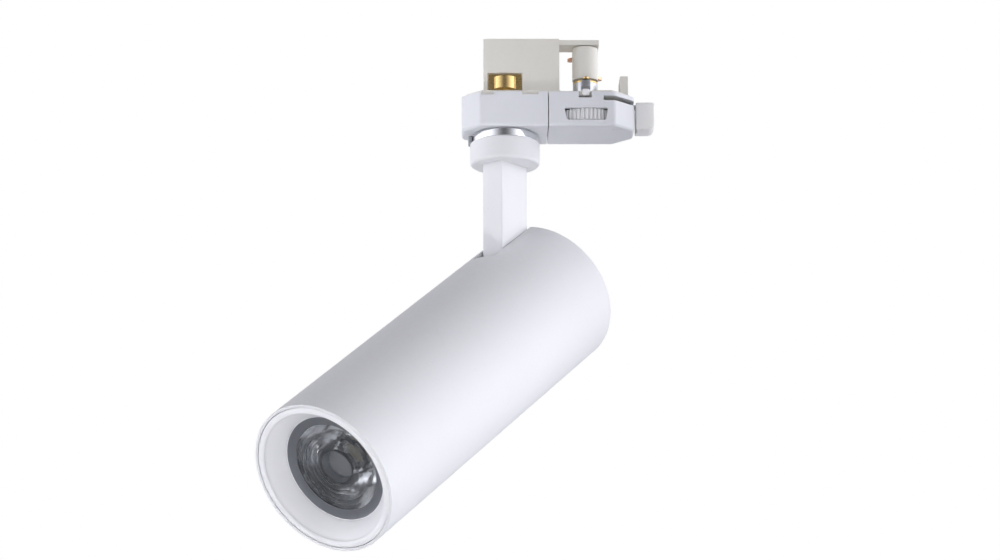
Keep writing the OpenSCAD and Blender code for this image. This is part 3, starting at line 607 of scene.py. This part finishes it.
def fit(piece, body, slot, nodes=(), place=ADAPTER, look=None, angle=40):
    """Puts a finished piece on its body, in its finish, in place of its CAD nodes."""
    laid(piece, place)
    if angle:
        smooth(piece, angle)
    piece.data.materials.clear()
    piece.data.materials.append(finish[look or slot])
    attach(piece, body)
    if nodes:
        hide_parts(*nodes)
    return piece


def refined(node_name, width, steps=2, look=None):
    """A CAD node's own shape with its edges rounded."""
    source = frame["nodes"][node_name]
    mesh = source.data.copy()
    piece = bpy.data.objects.new(node_name + "_finished", mesh)
    bpy.context.scene.collection.objects.link(piece)
    mesh.name = piece.name
    work = bmesh.new()
    work.from_mesh(mesh)
    bmesh.ops.remove_doubles(work, verts=work.verts, dist=0.000002)
    work.to_mesh(mesh)
    work.free()
    soften(piece, width * MM, steps)
    return fit(piece, source["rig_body"], slot_of[node_name], [node_name], Matrix.Identity(4), look)


# ---------- repeated pieces ----------


def socket_id(tree, name):
    inputs = [s for s in tree.interface.items_tree if s.item_type == "SOCKET" and s.in_out == "INPUT"]
    return next(s.identifier for s in inputs if s.name == name)


def geometry_group(name, inputs):
    tree = bpy.data.node_groups.new(name, "GeometryNodeTree")
    tree.interface.new_socket("Geometry", in_out="INPUT", socket_type="NodeSocketGeometry")
    for label, kind, value in inputs:
        socket = tree.interface.new_socket(label, in_out="INPUT", socket_type=kind)
        if value is not None:
            socket.default_value = value
    tree.interface.new_socket("Geometry", in_out="OUTPUT", socket_type="NodeSocketGeometry")
    start = tree.nodes.new("NodeGroupInput").outputs
    end = tree.nodes.new("NodeGroupOutput").inputs
    return tree, start, end


def grown(piece, tree, **values):
    """Runs a Geometry Nodes tree on a piece with the given inputs and keeps its result as a plain mesh."""
    grower = piece.modifiers.new(tree.name, "NODES")
    grower.node_group = tree
    for name, value in values.items():
        grower[socket_id(tree, name.replace("_", " "))] = value
    return settle(piece)


def close_tree(tree, end, shapes, material):
    """Joins shapes, makes instances real and sets their material."""
    joined = tree.nodes.new("GeometryNodeJoinGeometry")
    for shape in shapes:
        tree.links.new(shape, joined.inputs[0])
    real = node(tree, "GeometryNodeRealizeInstances", [(0, joined.outputs[0])])
    dressed = node(tree, "GeometryNodeSetMaterial", [("Geometry", real.outputs[0]), ("Material", material)])
    tree.links.new(dressed.outputs[0], end[0])


def make_rib_tree():
    """Ribs with domed ends, evenly round a wheel."""
    tree, start, end = geometry_group(
        "wheel_ribs",
        [
            ("Ribs", "NodeSocketInt", 52),
            ("Circle", "NodeSocketFloat", 13.7),
            ("Rib Radius", "NodeSocketFloat", 0.6),
            ("Rib Length", "NodeSocketFloat", 3.8),
            ("Finish", "NodeSocketMaterial", None),
        ],
    )
    ring = node(tree, "GeometryNodeMeshCircle", [("Vertices", start["Ribs"]), ("Radius", start["Circle"])])
    bar = node(
        tree,
        "GeometryNodeMeshCylinder",
        [("Vertices", 12), ("Radius", start["Rib Radius"]), ("Depth", start["Rib Length"])],
        fill_type="NONE",
    )
    ball = node(
        tree,
        "GeometryNodeMeshUVSphere",
        [("Segments", 12), ("Rings", 8), ("Radius", start["Rib Radius"])],
    )
    half = sums(tree, "MULTIPLY", start["Rib Length"], 0.5)
    ends = []
    for way in (1.0, -1.0):
        lift = node(tree, "ShaderNodeCombineXYZ", [(2, sums(tree, "MULTIPLY", half, way))])
        links = [("Geometry", ball.outputs[0]), ("Translation", lift.outputs[0])]
        moved = node(tree, "GeometryNodeTransform", links)
        ends.append(moved.outputs[0])
    rib = tree.nodes.new("GeometryNodeJoinGeometry")
    for shape in (bar.outputs[0], *ends):
        tree.links.new(shape, rib.inputs[0])
    links = [("Points", ring.outputs[0]), ("Instance", rib.outputs[0])]
    row = node(tree, "GeometryNodeInstanceOnPoints", links)
    close_tree(tree, end, [start["Geometry"], row.outputs[0]], start["Finish"])
    return tree


def make_screw_tree():
    """One screw at each point of the piece, all turned the same way."""
    tree, start, end = geometry_group(
        "screw_row",
        [
            ("Screw", "NodeSocketObject", None),
            ("Turn", "NodeSocketVector", None),
            ("Finish", "NodeSocketMaterial", None),
        ],
    )
    info = node(tree, "GeometryNodeObjectInfo", [("Object", start["Screw"]), ("As Instance", True)])
    row = node(
        tree,
        "GeometryNodeInstanceOnPoints",
        [("Points", start["Geometry"]), ("Instance", info.outputs["Geometry"]), ("Rotation", start["Turn"])],
    )
    close_tree(tree, end, [row.outputs[0]], start["Finish"])
    return tree


def make_bead_tree():
    """Low beads in a sunflower spiral from an inner to an outer radius."""
    tree, start, end = geometry_group(
        "bead_spiral",
        [
            ("Beads", "NodeSocketInt", 900),
            ("Spread", "NodeSocketFloat", 0.4),
            ("Inner", "NodeSocketFloat", 0.0),
            ("Bead", "NodeSocketFloat", 0.25),
            ("Height", "NodeSocketFloat", 0.0),
            ("Finish", "NodeSocketMaterial", None),
        ],
    )
    line = node(tree, "GeometryNodeMeshLine", [("Count", start["Beads"])])
    index = node(tree, "GeometryNodeInputIndex").outputs[0]
    golden = sums(tree, "MULTIPLY", index, math.pi * (3 - math.sqrt(5)))
    square = sums(tree, "MULTIPLY", start["Inner"], start["Inner"])
    grow = sums(tree, "MULTIPLY", sums(tree, "MULTIPLY", start["Spread"], start["Spread"]), index)
    reach = sums(tree, "SQRT", sums(tree, "ADD", square, grow))
    x = sums(tree, "MULTIPLY", reach, sums(tree, "COSINE", golden))
    y = sums(tree, "MULTIPLY", reach, sums(tree, "SINE", golden))
    at = node(tree, "ShaderNodeCombineXYZ", [(0, x), (1, y), (2, start["Height"])])
    links = [("Geometry", line.outputs[0]), ("Position", at.outputs[0])]
    laid_out = node(tree, "GeometryNodeSetPosition", links)
    bead = node(tree, "GeometryNodeMeshIcoSphere", [("Radius", start["Bead"]), ("Subdivisions", 1)])
    flat = node(tree, "GeometryNodeTransform", [("Geometry", bead.outputs[0]), ("Scale", (1.0, 1.0, 0.45))])
    links = [("Points", laid_out.outputs[0]), ("Instance", flat.outputs[0])]
    row = node(tree, "GeometryNodeInstanceOnPoints", links)
    close_tree(tree, end, [row.outputs[0]], start["Finish"])
    return tree


# ---------- adapter ----------

COVER_HALF = 14.0
COVER_TOP = -1.1
COVER_LOW = -15.3
COVER_WALL = 1.7
COVER_ROUND = 1.3
LAMP_X, SPLIT_X, NOSE_X = -17.4, 17.3, 52.0
LAMP_CUT, NOSE_CUT = 7.4, 8.1
SEAM = 0.18
WHEEL_X = 32.6
BOSS_R, COVER_SCREW_R = 1.8, 1.0
LAMP_BOSSES = [(-12.4, -5.0), (-12.4, 5.0)]
NOSE_BOSSES = [(19.7, -10.1), (19.7, 10.1)]
CORNER_SHRINK = 2 - math.sqrt(2)


def lamp_plan(inset, joint=SPLIT_X - SEAM):
    c, y, x = LAMP_CUT - inset * CORNER_SHRINK, COVER_HALF - inset, LAMP_X + inset
    corners = [(joint, -y), (joint, y), (x + c, y), (x, y - c), (x, c - y), (x + c, -y)]
    r = max(2.0 - inset * 0.5, 0.5)
    return rounded(corners, [0.12, 0.12, r, r, r, r])


def nose_plan(inset, joint=SPLIT_X + SEAM):
    c, y, x = NOSE_CUT - inset * CORNER_SHRINK, COVER_HALF - inset, NOSE_X - inset
    corners = [(joint, y), (joint, -y), (x - c, -y), (x, c - y), (x, y - c), (x - c, y)]
    r = max(2.6 - inset * 0.5, 0.5)
    return rounded(corners, [0.12, 0.12, r, r, r, r])


def cover_body(name, plan):
    """A cover's outside: a rounded lower edge, straight sides and a softened top rim."""
    levels = []
    for k in range(9, -1, -1):
        a = math.radians(10 * k)
        levels.append((COVER_ROUND * (1 - math.cos(a)), COVER_LOW + COVER_ROUND * (1 - math.sin(a))))
    levels.append((0.0, COVER_TOP))
    return loft(name, [[(x, y, z) for x, y in plan(inset)] for inset, z in levels])


def boss_posts(places):
    return [round_bar(BOSS_R, COVER_LOW + 1, -2.8, x, y, 32) for x, y in places]


def boss_holes(places):
    return [round_bar(COVER_SCREW_R, -11, 0, x, y, 24) for x, y in places]


def make_lamp_cover():
    """Adapter's cover at the lamp end, with the screw bosses inside."""
    cover = cover_body("cover_lamp", lamp_plan)
    notches = [
        block((x0, side * COVER_HALF - 2, COVER_TOP - 1.2), (x1, side * COVER_HALF + 2, 1.0))
        for side in (-1, 1)
        for x0, x1 in ((-9.6, -4.4), (6.7, 13.5))
    ]
    hollow = prism(lamp_plan(COVER_WALL, SPLIT_X + 1), COVER_LOW + COVER_WALL, 0.5)
    carve(cover, cut=[hollow, *notches])
    post = round_bar(0.9, COVER_LOW + 1, COVER_LOW + COVER_WALL + 2, 10.3, 0, 20)
    bore = round_bar(4.95, -17, 0, 0, 0, 48)
    carve(cover, cut=[*boss_holes(LAMP_BOSSES), bore], add=[*boss_posts(LAMP_BOSSES), post])
    soften(cover, 0.22)
    return fit(cover, "adapter", "cover_white", ["cover_lamp_end"])


def make_lever_cover():
    """Adapter's cover at the lever end, with its window, slots and dimple."""
    cover = cover_body("cover_lever", nose_plan)
    opening = rounded([(24.8, 12.9), (40.3, 12.9), (41.1, 7.8), (23.7, 7.8)], [1.0, 1.0, 0.4, 0.4])
    window = laid(prism(opening, -16, 16), turn("X", -90))
    first, last, slot_reach = -64, 8, 30
    turns = [math.radians(a) for a in range(first, last + 1, 4)]
    sweep = [(WHEEL_X, 0.0)]
    sweep += [(WHEEL_X + slot_reach * math.cos(a), slot_reach * math.sin(a)) for a in turns]
    slot = prism(sweep, -4.7, -2.75)
    notch = block((29.5, -16, -3.6), (34.7, -12, 1))
    dimple_plan = rounded([(42.6, -9.6), (46.8, -9.6), (46.8, -8.4), (42.6, -8.4)], [0.55] * 4)
    dimple = prism(dimple_plan, -17, COVER_LOW + 0.6)
    hollow = prism(nose_plan(COVER_WALL, SPLIT_X - 1), COVER_LOW + COVER_WALL, 0.5)
    carve(cover, cut=[hollow, window, slot, notch, dimple])
    pin = round_bar(2.9, COVER_LOW + 1, -11.6, WHEEL_X, 0, 32)
    carve(cover, cut=boss_holes(NOSE_BOSSES), add=[*boss_posts(NOSE_BOSSES), pin])
    soften(cover, 0.22)
    return fit(cover, "adapter", "cover_white", ["cover_lever_end"])


def make_bearing_ring():
    """Polished ring that the swivel turns on, with its neck up to the cover."""
    outline = [(4.95, -19.0)]
    outline += arc(12.4, -18.6, 0.4, -90, 0)
    outline += arc(12.3, -16.1, 0.5, 0, 90)
    outline += [(11.6, -15.6), (11.6, COVER_LOW), (4.95, COVER_LOW)]
    ring = lathe("bearing_ring_polished", outline, 128)
    return fit(ring, "adapter", "polished_metal", ["bearing_ring"], angle=50)


def make_wheel():
    """Ribbed circuit wheel: a drum on a web and hub, with ribs all round."""
    low, high, hub_high = -12.7, -7.9, -5.2
    web_low, web_high, bore_high = -10.5, -9.0, -11.4
    pin_r, shaft_r, hub_r, inner_r, drum_r = 2.95, 3.4, 5.0, 12.0, 13.5
    outline = [(pin_r, low), (hub_r, low), (hub_r, web_low), (inner_r, web_low)]
    outline += [(inner_r, low + 0.2), (inner_r + 0.2, low), (drum_r - 0.2, low), (drum_r, low + 0.2)]
    outline += [(drum_r, high - 0.2), (drum_r - 0.2, high), (inner_r + 0.2, high), (inner_r, high - 0.2)]
    outline += [(inner_r, web_high), (hub_r, web_high), (hub_r, hub_high), (shaft_r, hub_high)]
    outline += [(shaft_r, bore_high), (pin_r, bore_high)]
    wheel = lathe("circuit_wheel_ribbed", outline, 104)
    middle = (low + high) / 2
    ribs = {"Ribs": 52, "Circle": 13.68, "Rib_Radius": 0.6, "Rib_Length": 3.6}
    laid(wheel, shift(z=-middle))
    grown(wheel, make_rib_tree(), **ribs, Finish=finish["wheel_white"])
    laid(wheel, shift(WHEEL_X, 0, middle))
    return fit(wheel, "circuit_selector", "wheel_white", ["selector_wheel"])


def make_lever():
    """Locking lever: a ring and arm inside the cover and a soft-edged tab that hangs outside its nose."""
    outline = rounded([(42.6, 3.05), (60.3, 3.05), (60.3, 14.2), (42.6, 14.2)], [0.3, 0.9, 2.6, 0.3], 7)
    tab = laid(prism([(x, -z) for x, z in outline], -5.5, 5.5, "lock_lever_tab"), turn("X", 90))
    carve(tab, cut=[round_bar(20.7, -30, 10, WHEEL_X, 0, 160)])
    soften(tab, 0.8, 4)
    ring = round_bar(12, -4.4, -3.05, WHEEL_X, 0, 72)
    arm = block((WHEEL_X, -1.8, -4.4), (WHEEL_X + 22.7, 1.8, -3.05))
    hub = round_bar(5, -6, -1, WHEEL_X, 0, 48)
    carve(tab, cut=[hub], add=[ring, arm])
    return fit(tab, "lock_lever", "tab_plastic", ["lever_tab"], angle=35)


def make_screw(name, length, head_r, head_h, shank=1.5):
    """A pan head screw pointing down, with a hexagon socket."""
    round_r = min(0.45, head_h * 0.4)
    outline = [(0.0, -length), (shank - 0.4, -length), (shank, -length + 0.5)]
    outline += [(shank, -0.1), (shank + 0.1, 0.0)]
    outline += [(head_r - 0.1, 0.0), (head_r, 0.1)]
    outline += arc(head_r - round_r, head_h - round_r, round_r, 0, 90, 4)
    outline += [(0.0, head_h)]
    screw = lathe(name, outline, 36)
    socket = round_bar(head_r * 0.46, head_h * 0.45, head_h + 1, sides=6)
    carve(screw, cut=[socket])
    return screw


def screw_row(name, template, places, spin, body, nodes, place=ADAPTER):
    mesh = bpy.data.meshes.new(name)
    mesh.from_pydata([tuple(p) for p in places], [], [])
    row = bpy.data.objects.new(name, mesh)
    bpy.context.scene.collection.objects.link(row)
    grown(row, screw_tree, Screw=template, Turn=spin, Finish=finish["zinc_steel"])
    return fit(row, body, "zinc_steel", nodes, place, angle=35)


make_lamp_cover()
make_lever_cover()
make_bearing_ring()
make_wheel()
make_lever()
refined("stop_block", 0.35)
refined("catch_plunger", 0.25)
refined("adapter_chassis", 0.22)
for contact in ("earth_contacts", "phase_contacts", "neutral_contact"):
    refined(contact, 0.12)
for works in ("selector_rotor", "lock_cam"):
    refined(works, 0.2)

screw_tree = make_screw_tree()
cover_screw = make_screw("cover_screw", 8.0, 1.6, 1.0, COVER_SCREW_R)
cover_screw_places = [(x, y, -1.2) for x, y in LAMP_BOSSES + NOSE_BOSSES]
screw_row("cover_screw_set", cover_screw, cover_screw_places, (0, 0, 0), "adapter", ["chassis_screws"])
bpy.data.objects.remove(cover_screw)


# ---------- swivel and stem ----------

STEM_W, STEM_T = 16.3, 10.0
COLLAR_R, COLLAR_TOP, COLLAR_LOW, COLLAR_FLOOR = 14.0, -19.2, -28.3, 2.2


def make_collar():
    """Swivel collar: a turned cup with a soft lower edge and the stem's opening in its floor."""
    inner = COLLAR_R - 2
    floor = COLLAR_LOW + COLLAR_FLOOR
    outline = [(0.0, COLLAR_LOW)]
    outline += arc(COLLAR_R - 1.3, COLLAR_LOW + 1.3, 1.3, -90, 0, 8)
    outline += arc(COLLAR_R - 0.3, COLLAR_TOP - 0.3, 0.3, 0, 90, 3)
    outline += arc(inner + 0.2, COLLAR_TOP - 0.2, 0.2, 90, 180, 3)
    outline += [(inner, floor + 0.3), (inner - 0.3, floor), (0.0, floor)]
    collar = lathe("swivel_collar", outline, 128)
    half_w, half_t = STEM_W / 2 + 0.12, STEM_T / 2 + 0.12
    opening = block((-half_w, -half_t, -30), (half_w, half_t, -20))
    holes = [round_bar(1.5, COLLAR_LOW + 0.6, -20, 0, y, 24) for y in (-8, 8)]
    carve(collar, cut=[opening, *holes])
    soften(collar, 0.15)
    return fit(collar, "swivel", "powder_white", ["collar"], SWIVEL)


def make_stem():
    """Flat stem with softened edges, a flange inside the collar and a round lower end."""
    top = COLLAR_LOW + COLLAR_FLOOR
    outline = [(-STEM_W / 2, -top), (STEM_W / 2, -top)]
    outline += arc(0, PIVOT_DROP, STEM_W / 2, 0, 180, 24)
    bar = prism(outline, -STEM_T / 2, STEM_T / 2, "stem_bar")
    laid(bar, turn("X", -90))
    soften(bar, 0.55, 4)
    flange = round_bar(11.4, top, -22.6, sides=72)
    hollow = block((-4.5, -2.5, -62), (4.5, 2.5, -20))
    window = block((-12, -2, -62), (0, 2, -57))
    hole = laid(round_bar(2.55, -12, 12), shift(z=-PIVOT_DROP) @ turn("X", 90))
    screw_holes = [round_bar(1.6, -30, -20, 0, y, 24) for y in (-8, 8)]
    carve(bar, cut=[hollow, window, hole, *screw_holes], add=[flange])
    return fit(bar, "swivel", "powder_white", ["stem"], SWIVEL, angle=35)


make_collar()
make_stem()


# ---------- lamp head ----------

TUBE_R, BORE_R, TUBE_LEN = 30.0, 28.9, 162.5
RING_FRONT = TUBE_LEN - 8.0
LENS_FRONT = RING_FRONT - 1.4
LENS_BACK = 133.8


def make_tube():
    """Housing tube with softened rims and the stem's slot at its rear."""
    outline = arc(TUBE_R - 0.3, 0.3, 0.3, -90, 0, 4) + arc(TUBE_R - 0.3, TUBE_LEN - 0.3, 0.3, 0, 90, 4)
    outline += arc(BORE_R + 0.2, TUBE_LEN - 0.2, 0.2, 90, 180, 3) + arc(BORE_R + 0.2, 0.2, 0.2, 180, 270, 3)
    tube = lathe("housing_tube_coated", outline, 192)
    slot = block((-5.6, 15, -5), (5.6, 40, 29))
    carve(tube, cut=[slot])
    soften(tube, 0.3, 2, 50)
    return fit(tube, "head", "powder_white", ["housing_tube"], BARREL)


def make_rear_cap():
    """Rear cap with a softened rim, the stem's notch, vent slots and recessed screw seats."""
    outline = [(0.0, 0.6)] + arc(28.2, 1.2, 0.6, -90, 0, 5) + [(28.8, 3.2), (28.6, 3.4), (0.0, 3.4)]
    cap = lathe("rear_cap_vented", outline, 128)
    notch = prism(rounded([(-5.6, 8.4), (5.6, 8.4), (5.6, 40), (-5.6, 40)], [1.5, 1.5, 1, 1]), -5, 10)
    vents = []
    for i in range(-3, 4):
        low = -22 + abs(i) * 1.2
        shape = rounded([(i * 5 - 1, low), (i * 5 + 1, low), (i * 5 + 1, -12), (i * 5 - 1, -12)], [0.95] * 4)
        vents.append(prism(shape, -5, 10))
    holes = [round_bar(1.6, -5, 10, x, -6, 32) for x in (-17, 17)]
    seats = [round_bar(2.9, -5, 2.2, x, -6, 40) for x in (-17, 17)]
    carve(cap, cut=[notch, *vents, *holes, *seats])
    soften(cap, 0.25, 2, 50)
    return fit(cap, "head", "cap_white", ["rear_cap"], BARREL)


def make_baffle():
    """White baffle: rolled lip at the rim, a smooth cone and a skirt inside the tube."""
    mouth, inner, rim = 26.1, 21.1, 28.78
    outline = [(inner, RING_FRONT), (inner + 0.25, RING_FRONT + 0.06)]
    for k in range(1, 13):
        f = k / 12
        outline.append((inner + (mouth - inner) * f - 0.35 * math.sin(math.pi * f), RING_FRONT + 7.0 * f))
    lip = 0.9
    for a in (math.radians(degrees) for degrees in range(15, 91, 15)):
        outline.append((mouth + lip * (1 - math.cos(a)), TUBE_LEN - lip + lip * math.sin(a)))
    outline += arc(rim - lip, TUBE_LEN - lip, lip, 90, 0, 6)
    skirt = rim - 1.2
    outline += [(rim, TUBE_LEN - 6), (skirt, TUBE_LEN - 6), (skirt, TUBE_LEN - 2), (inner + 1.4, RING_FRONT)]
    baffle = lathe("front_baffle_satin", outline, 160)
    return fit(baffle, "head", "cap_white", ["front_baffle"], BARREL, angle=50)


def make_lens_ring():
    """Grey dished ring round the lens."""
    outline = [(17.6, LENS_FRONT + 0.05)] + arc(17.75, LENS_FRONT + 0.35, 0.15, 180, 110, 3)
    outline += [(19.4, LENS_FRONT + 0.75), (20.9, RING_FRONT - 0.12), (21.1, RING_FRONT), (24.9, RING_FRONT)]
    outline += [(24.9, LENS_FRONT - 1.6), (20.7, LENS_FRONT - 1.6), (20.7, LENS_FRONT + 0.05)]
    ring = lathe("lens_ring_grey", outline, 128)
    return fit(ring, "head", "grey_plastic", ["lens_ring"], BARREL, "lens_trim", 40)


def make_lens():
    """Collimating lens: faceted wall, domed cavity over the emitter, and steps and a well in its face."""
    outline = [(0.0, LENS_BACK + 7.5)]
    for a in (math.radians(degrees) for degrees in range(15, 91, 15)):
        outline.append((6.6 * math.sin(a), LENS_BACK + 5 + 2.5 * math.cos(a)))
    outline += [(6.6, LENS_BACK), (8.0, LENS_BACK)]
    wall_from = len(outline)
    rows = 12
    for k in range(1, rows + 1):
        outline.append((8 + 11 * (k / rows) ** 0.8, LENS_BACK + (LENS_FRONT - 1.6 - LENS_BACK) * k / rows))
    wall_to = len(outline) - 1
    outline += [(20.6, LENS_FRONT - 1.6), (20.6, LENS_FRONT)]
    for r in (15.8, 13.6, 11.6, 9.8, 8.2):
        outline += [(r, LENS_FRONT), (r - 0.12, LENS_FRONT - 0.16), (r - 0.7, LENS_FRONT - 0.05)]
    outline += [(6.5, LENS_FRONT), (6.3, LENS_FRONT - 0.3), (6.0, LENS_FRONT - 3.5), (0.0, LENS_FRONT - 3.5)]

    def facets(step, k):
        if wall_from <= step < wall_to:
            return 0.14 * math.cos(math.tau * 30 * k / 120 + math.pi * (step % 2))
        return 0.0

    lens = fit(lathe("lens_optic", outline, 120, facets), "head", "lens_clear", ["lens"], BARREL, angle=0)
    lens.data.shade_smooth()
    lens.data.set_sharp_from_angle(angle=math.radians(14))
    return lens


def make_lens_beads():
    """Beads on the face of the lens and in the bottom of its well. The well's beads are pale and opaque as
    painted highlights, on a dark floor that is painted shade in the clear lens.
    """
    tree = make_bead_tree()
    low, high = LENS_FRONT - 3.5, LENS_FRONT - 3.45
    # painted shade: an opaque dark disc at the bottom of the well, where the clear lens only shows shade
    floor = lathe("lens_well_floor", [(0.0, low), (5.9, low), (5.9, high), (0.0, high)], 64)
    fit(floor, "head", "lens_clear", [], BARREL, "lens_well")
    rows = (
        # painted highlights: the well's beads use a pale opaque finish, while the face's beads stay clear
        ("lens_beads_well", 150, 0.47, 0.0, 0.2, LENS_FRONT - 3.42, "lens_bead"),
        ("lens_beads_face", 1400, 0.42, 6.9, 0.17, LENS_FRONT - 0.03, "lens_clear"),
    )
    for name, count, spread, inner, size, height, look in rows:
        beads = solid(name, [], [])
        sizes = {"Beads": count, "Spread": spread, "Inner": inner, "Bead": size, "Height": height}
        grown(beads, tree, **sizes, Finish=finish[look])
        fit(beads, "head", "lens_clear", [], BARREL, look, 0)
        beads.data.shade_smooth()


make_tube()
make_rear_cap()
make_baffle()
make_lens_ring()
make_lens()
make_lens_beads()
for works in ("tilt_bracket", "pivot_bolt", "pivot_nut"):
    refined(works, 0.2)
# painted shade: the LED holder, whose own finish is the white cap plastic, is drawn in the dark plastic finish
# so that the centre of the lens looks dark
refined("led_holder", 0.2, look="dark_plastic")

cap_screw = make_screw("cap_screw", 5.0, 2.7, 1.5)
cap_screw_places = [(x, -6, 2.2) for x in (-17, 17)]
facing_back, cap_parts = (math.pi, 0, 0), ["rear_cap_screws"]
screw_row("rear_cap_screw_pair", cap_screw, cap_screw_places, facing_back, "head", cap_parts, BARREL)
bpy.data.objects.remove(cap_screw)

# painted light: the lens cup, dark in its own finish, is drawn in the white cap finish so that the lens facets
# show pale where they would show the dark cup
for name, cad_node in frame["nodes"].items():
    if not cad_node.hide_render:
        cad_node.data.materials.clear()
        cad_node.data.materials.append(finish["cap_white" if name == "lens_cup" else slot_of[name]])


# ---------- stage ----------


def make_stage():
    """A plain pale floor, far below the hanging lamp."""
    size, height = 8.0, -0.9
    corners = [(x * size, y * size, height) for x, y in ((-1, -1), (1, -1), (1, 1), (-1, 1))]
    floor = solid("floor", corners, [(0, 1, 2, 3)])
    material, tree, principled, place = shader("pale_floor")
    cloud = noise(tree, place, 1.5, 3.0, 0.5)
    base = blend_colour(tree, cloud, (0.86, 0.86, 0.87), (0.82, 0.82, 0.83))
    tree.links.new(base, principled.inputs["Base Color"])
    principled.inputs["Roughness"].default_value = 0.9
    floor.data.materials.append(material)


def make_world():
    """Studio surround: broad bright sides, a dim front and top, and plain white where it is seen."""
    world = bpy.data.worlds.new("studio")
    bpy.context.scene.world = world
    world.use_nodes = True
    tree = world.node_tree
    sky = tree.nodes["Background"]
    sight = node(tree, "ShaderNodeTexCoord").outputs["Generated"]
    way = node(tree, "ShaderNodeSeparateXYZ", [(0, sight)]).outputs
    sides = sums(tree, "MULTIPLY_ADD", sums(tree, "MULTIPLY", way[0], way[0]), 2.5, 0.3)
    tilted = sums(tree, "MULTIPLY_ADD", way[0], 0.16, sides)
    tree.links.new(sums(tree, "MULTIPLY_ADD", way[2], -0.5, tilted), sky.inputs["Strength"])
    sky.inputs["Color"].default_value = (0.962, 0.964, 1.025, 1.0)
    seen = node(tree, "ShaderNodeBackground", [("Color", (1.0, 1.0, 1.0, 1.0)), ("Strength", 1.0)])
    path = node(tree, "ShaderNodeLightPath")
    links = [(0, path.outputs["Is Camera Ray"]), (1, sky.outputs[0]), (2, seen.outputs[0])]
    mix = node(tree, "ShaderNodeMixShader", links)
    tree.links.new(mix.outputs[0], tree.nodes["World Output"].inputs["Surface"])


def soft_light(name, kind, place, aim, power, **settings):
    """A light aimed at a point and hidden from the camera."""
    lamp = bpy.data.lights.new(name, kind)
    lamp.energy = power
    for key, value in settings.items():
        setattr(lamp, key, value)
    holder = bpy.data.objects.new(name, lamp)
    bpy.context.scene.collection.objects.link(holder)
    holder.location = place
    holder.rotation_mode = "QUATERNION"
    holder.rotation_quaternion = (Vector(aim) - Vector(place)).to_track_quat("-Z", "Y")
    holder.visible_camera = False


def make_lights():
    """A tall light from the right, a small one from below the front, and one into the lamp's mouth."""
    aim = (-0.02, -0.03, -0.09)
    panel = {"shape": "RECTANGLE"}
    soft_light("key_right", "AREA", (1.3, -0.9, -0.3), aim, 1.6, size=0.3, size_y=0.9, **panel)
    soft_light("front_low", "AREA", (-0.6, -1.1, -0.7), aim, 0.6, size=0.3, size_y=0.3, **panel)
    mouth = BARREL @ Vector((0, 0, TUBE_LEN))
    ahead = (BARREL @ Vector((0.45, -0.25, TUBE_LEN + 1)) - mouth).normalized()
    spot = {"spot_size": math.radians(4.3), "spot_blend": 0.5, "shadow_soft_size": 0.1}
    soft_light("into_mouth", "SPOT", mouth + ahead * 0.75, mouth, 95.0, **spot)


def make_camera():
    """The viewing angle: from a little below, square to the track."""
    camera = bpy.data.objects.new("camera", bpy.data.cameras.new("camera"))
    bpy.context.scene.collection.objects.link(camera)
    yaw, pitch, roll = (math.radians(v) for v in (0.206, 13.358, -0.075))
    ahead = Vector((math.sin(yaw) * math.cos(pitch), math.cos(yaw) * math.cos(pitch), math.sin(pitch)))
    right = Vector((math.cos(yaw), -math.sin(yaw), 0.0))
    up = right.cross(ahead)
    across = right * math.cos(roll) + up * math.sin(roll)
    upward = up * math.cos(roll) - right * math.sin(roll)
    camera.matrix_world = Matrix((across, upward, -ahead)).transposed().to_4x4()
    camera.location = (-0.013244, -1.166135, -0.355824)
    camera.data.sensor_width = 36.0
    camera.data.lens = 108.209
    camera.data.shift_x = 0.017356
    camera.data.shift_y = 0.008723
    camera.data.clip_start, camera.data.clip_end = 0.05, 40.0
    bpy.context.scene.camera = camera


make_stage()
make_world()
make_lights()
make_camera()
bpy.context.scene.view_settings.view_transform = "Standard"
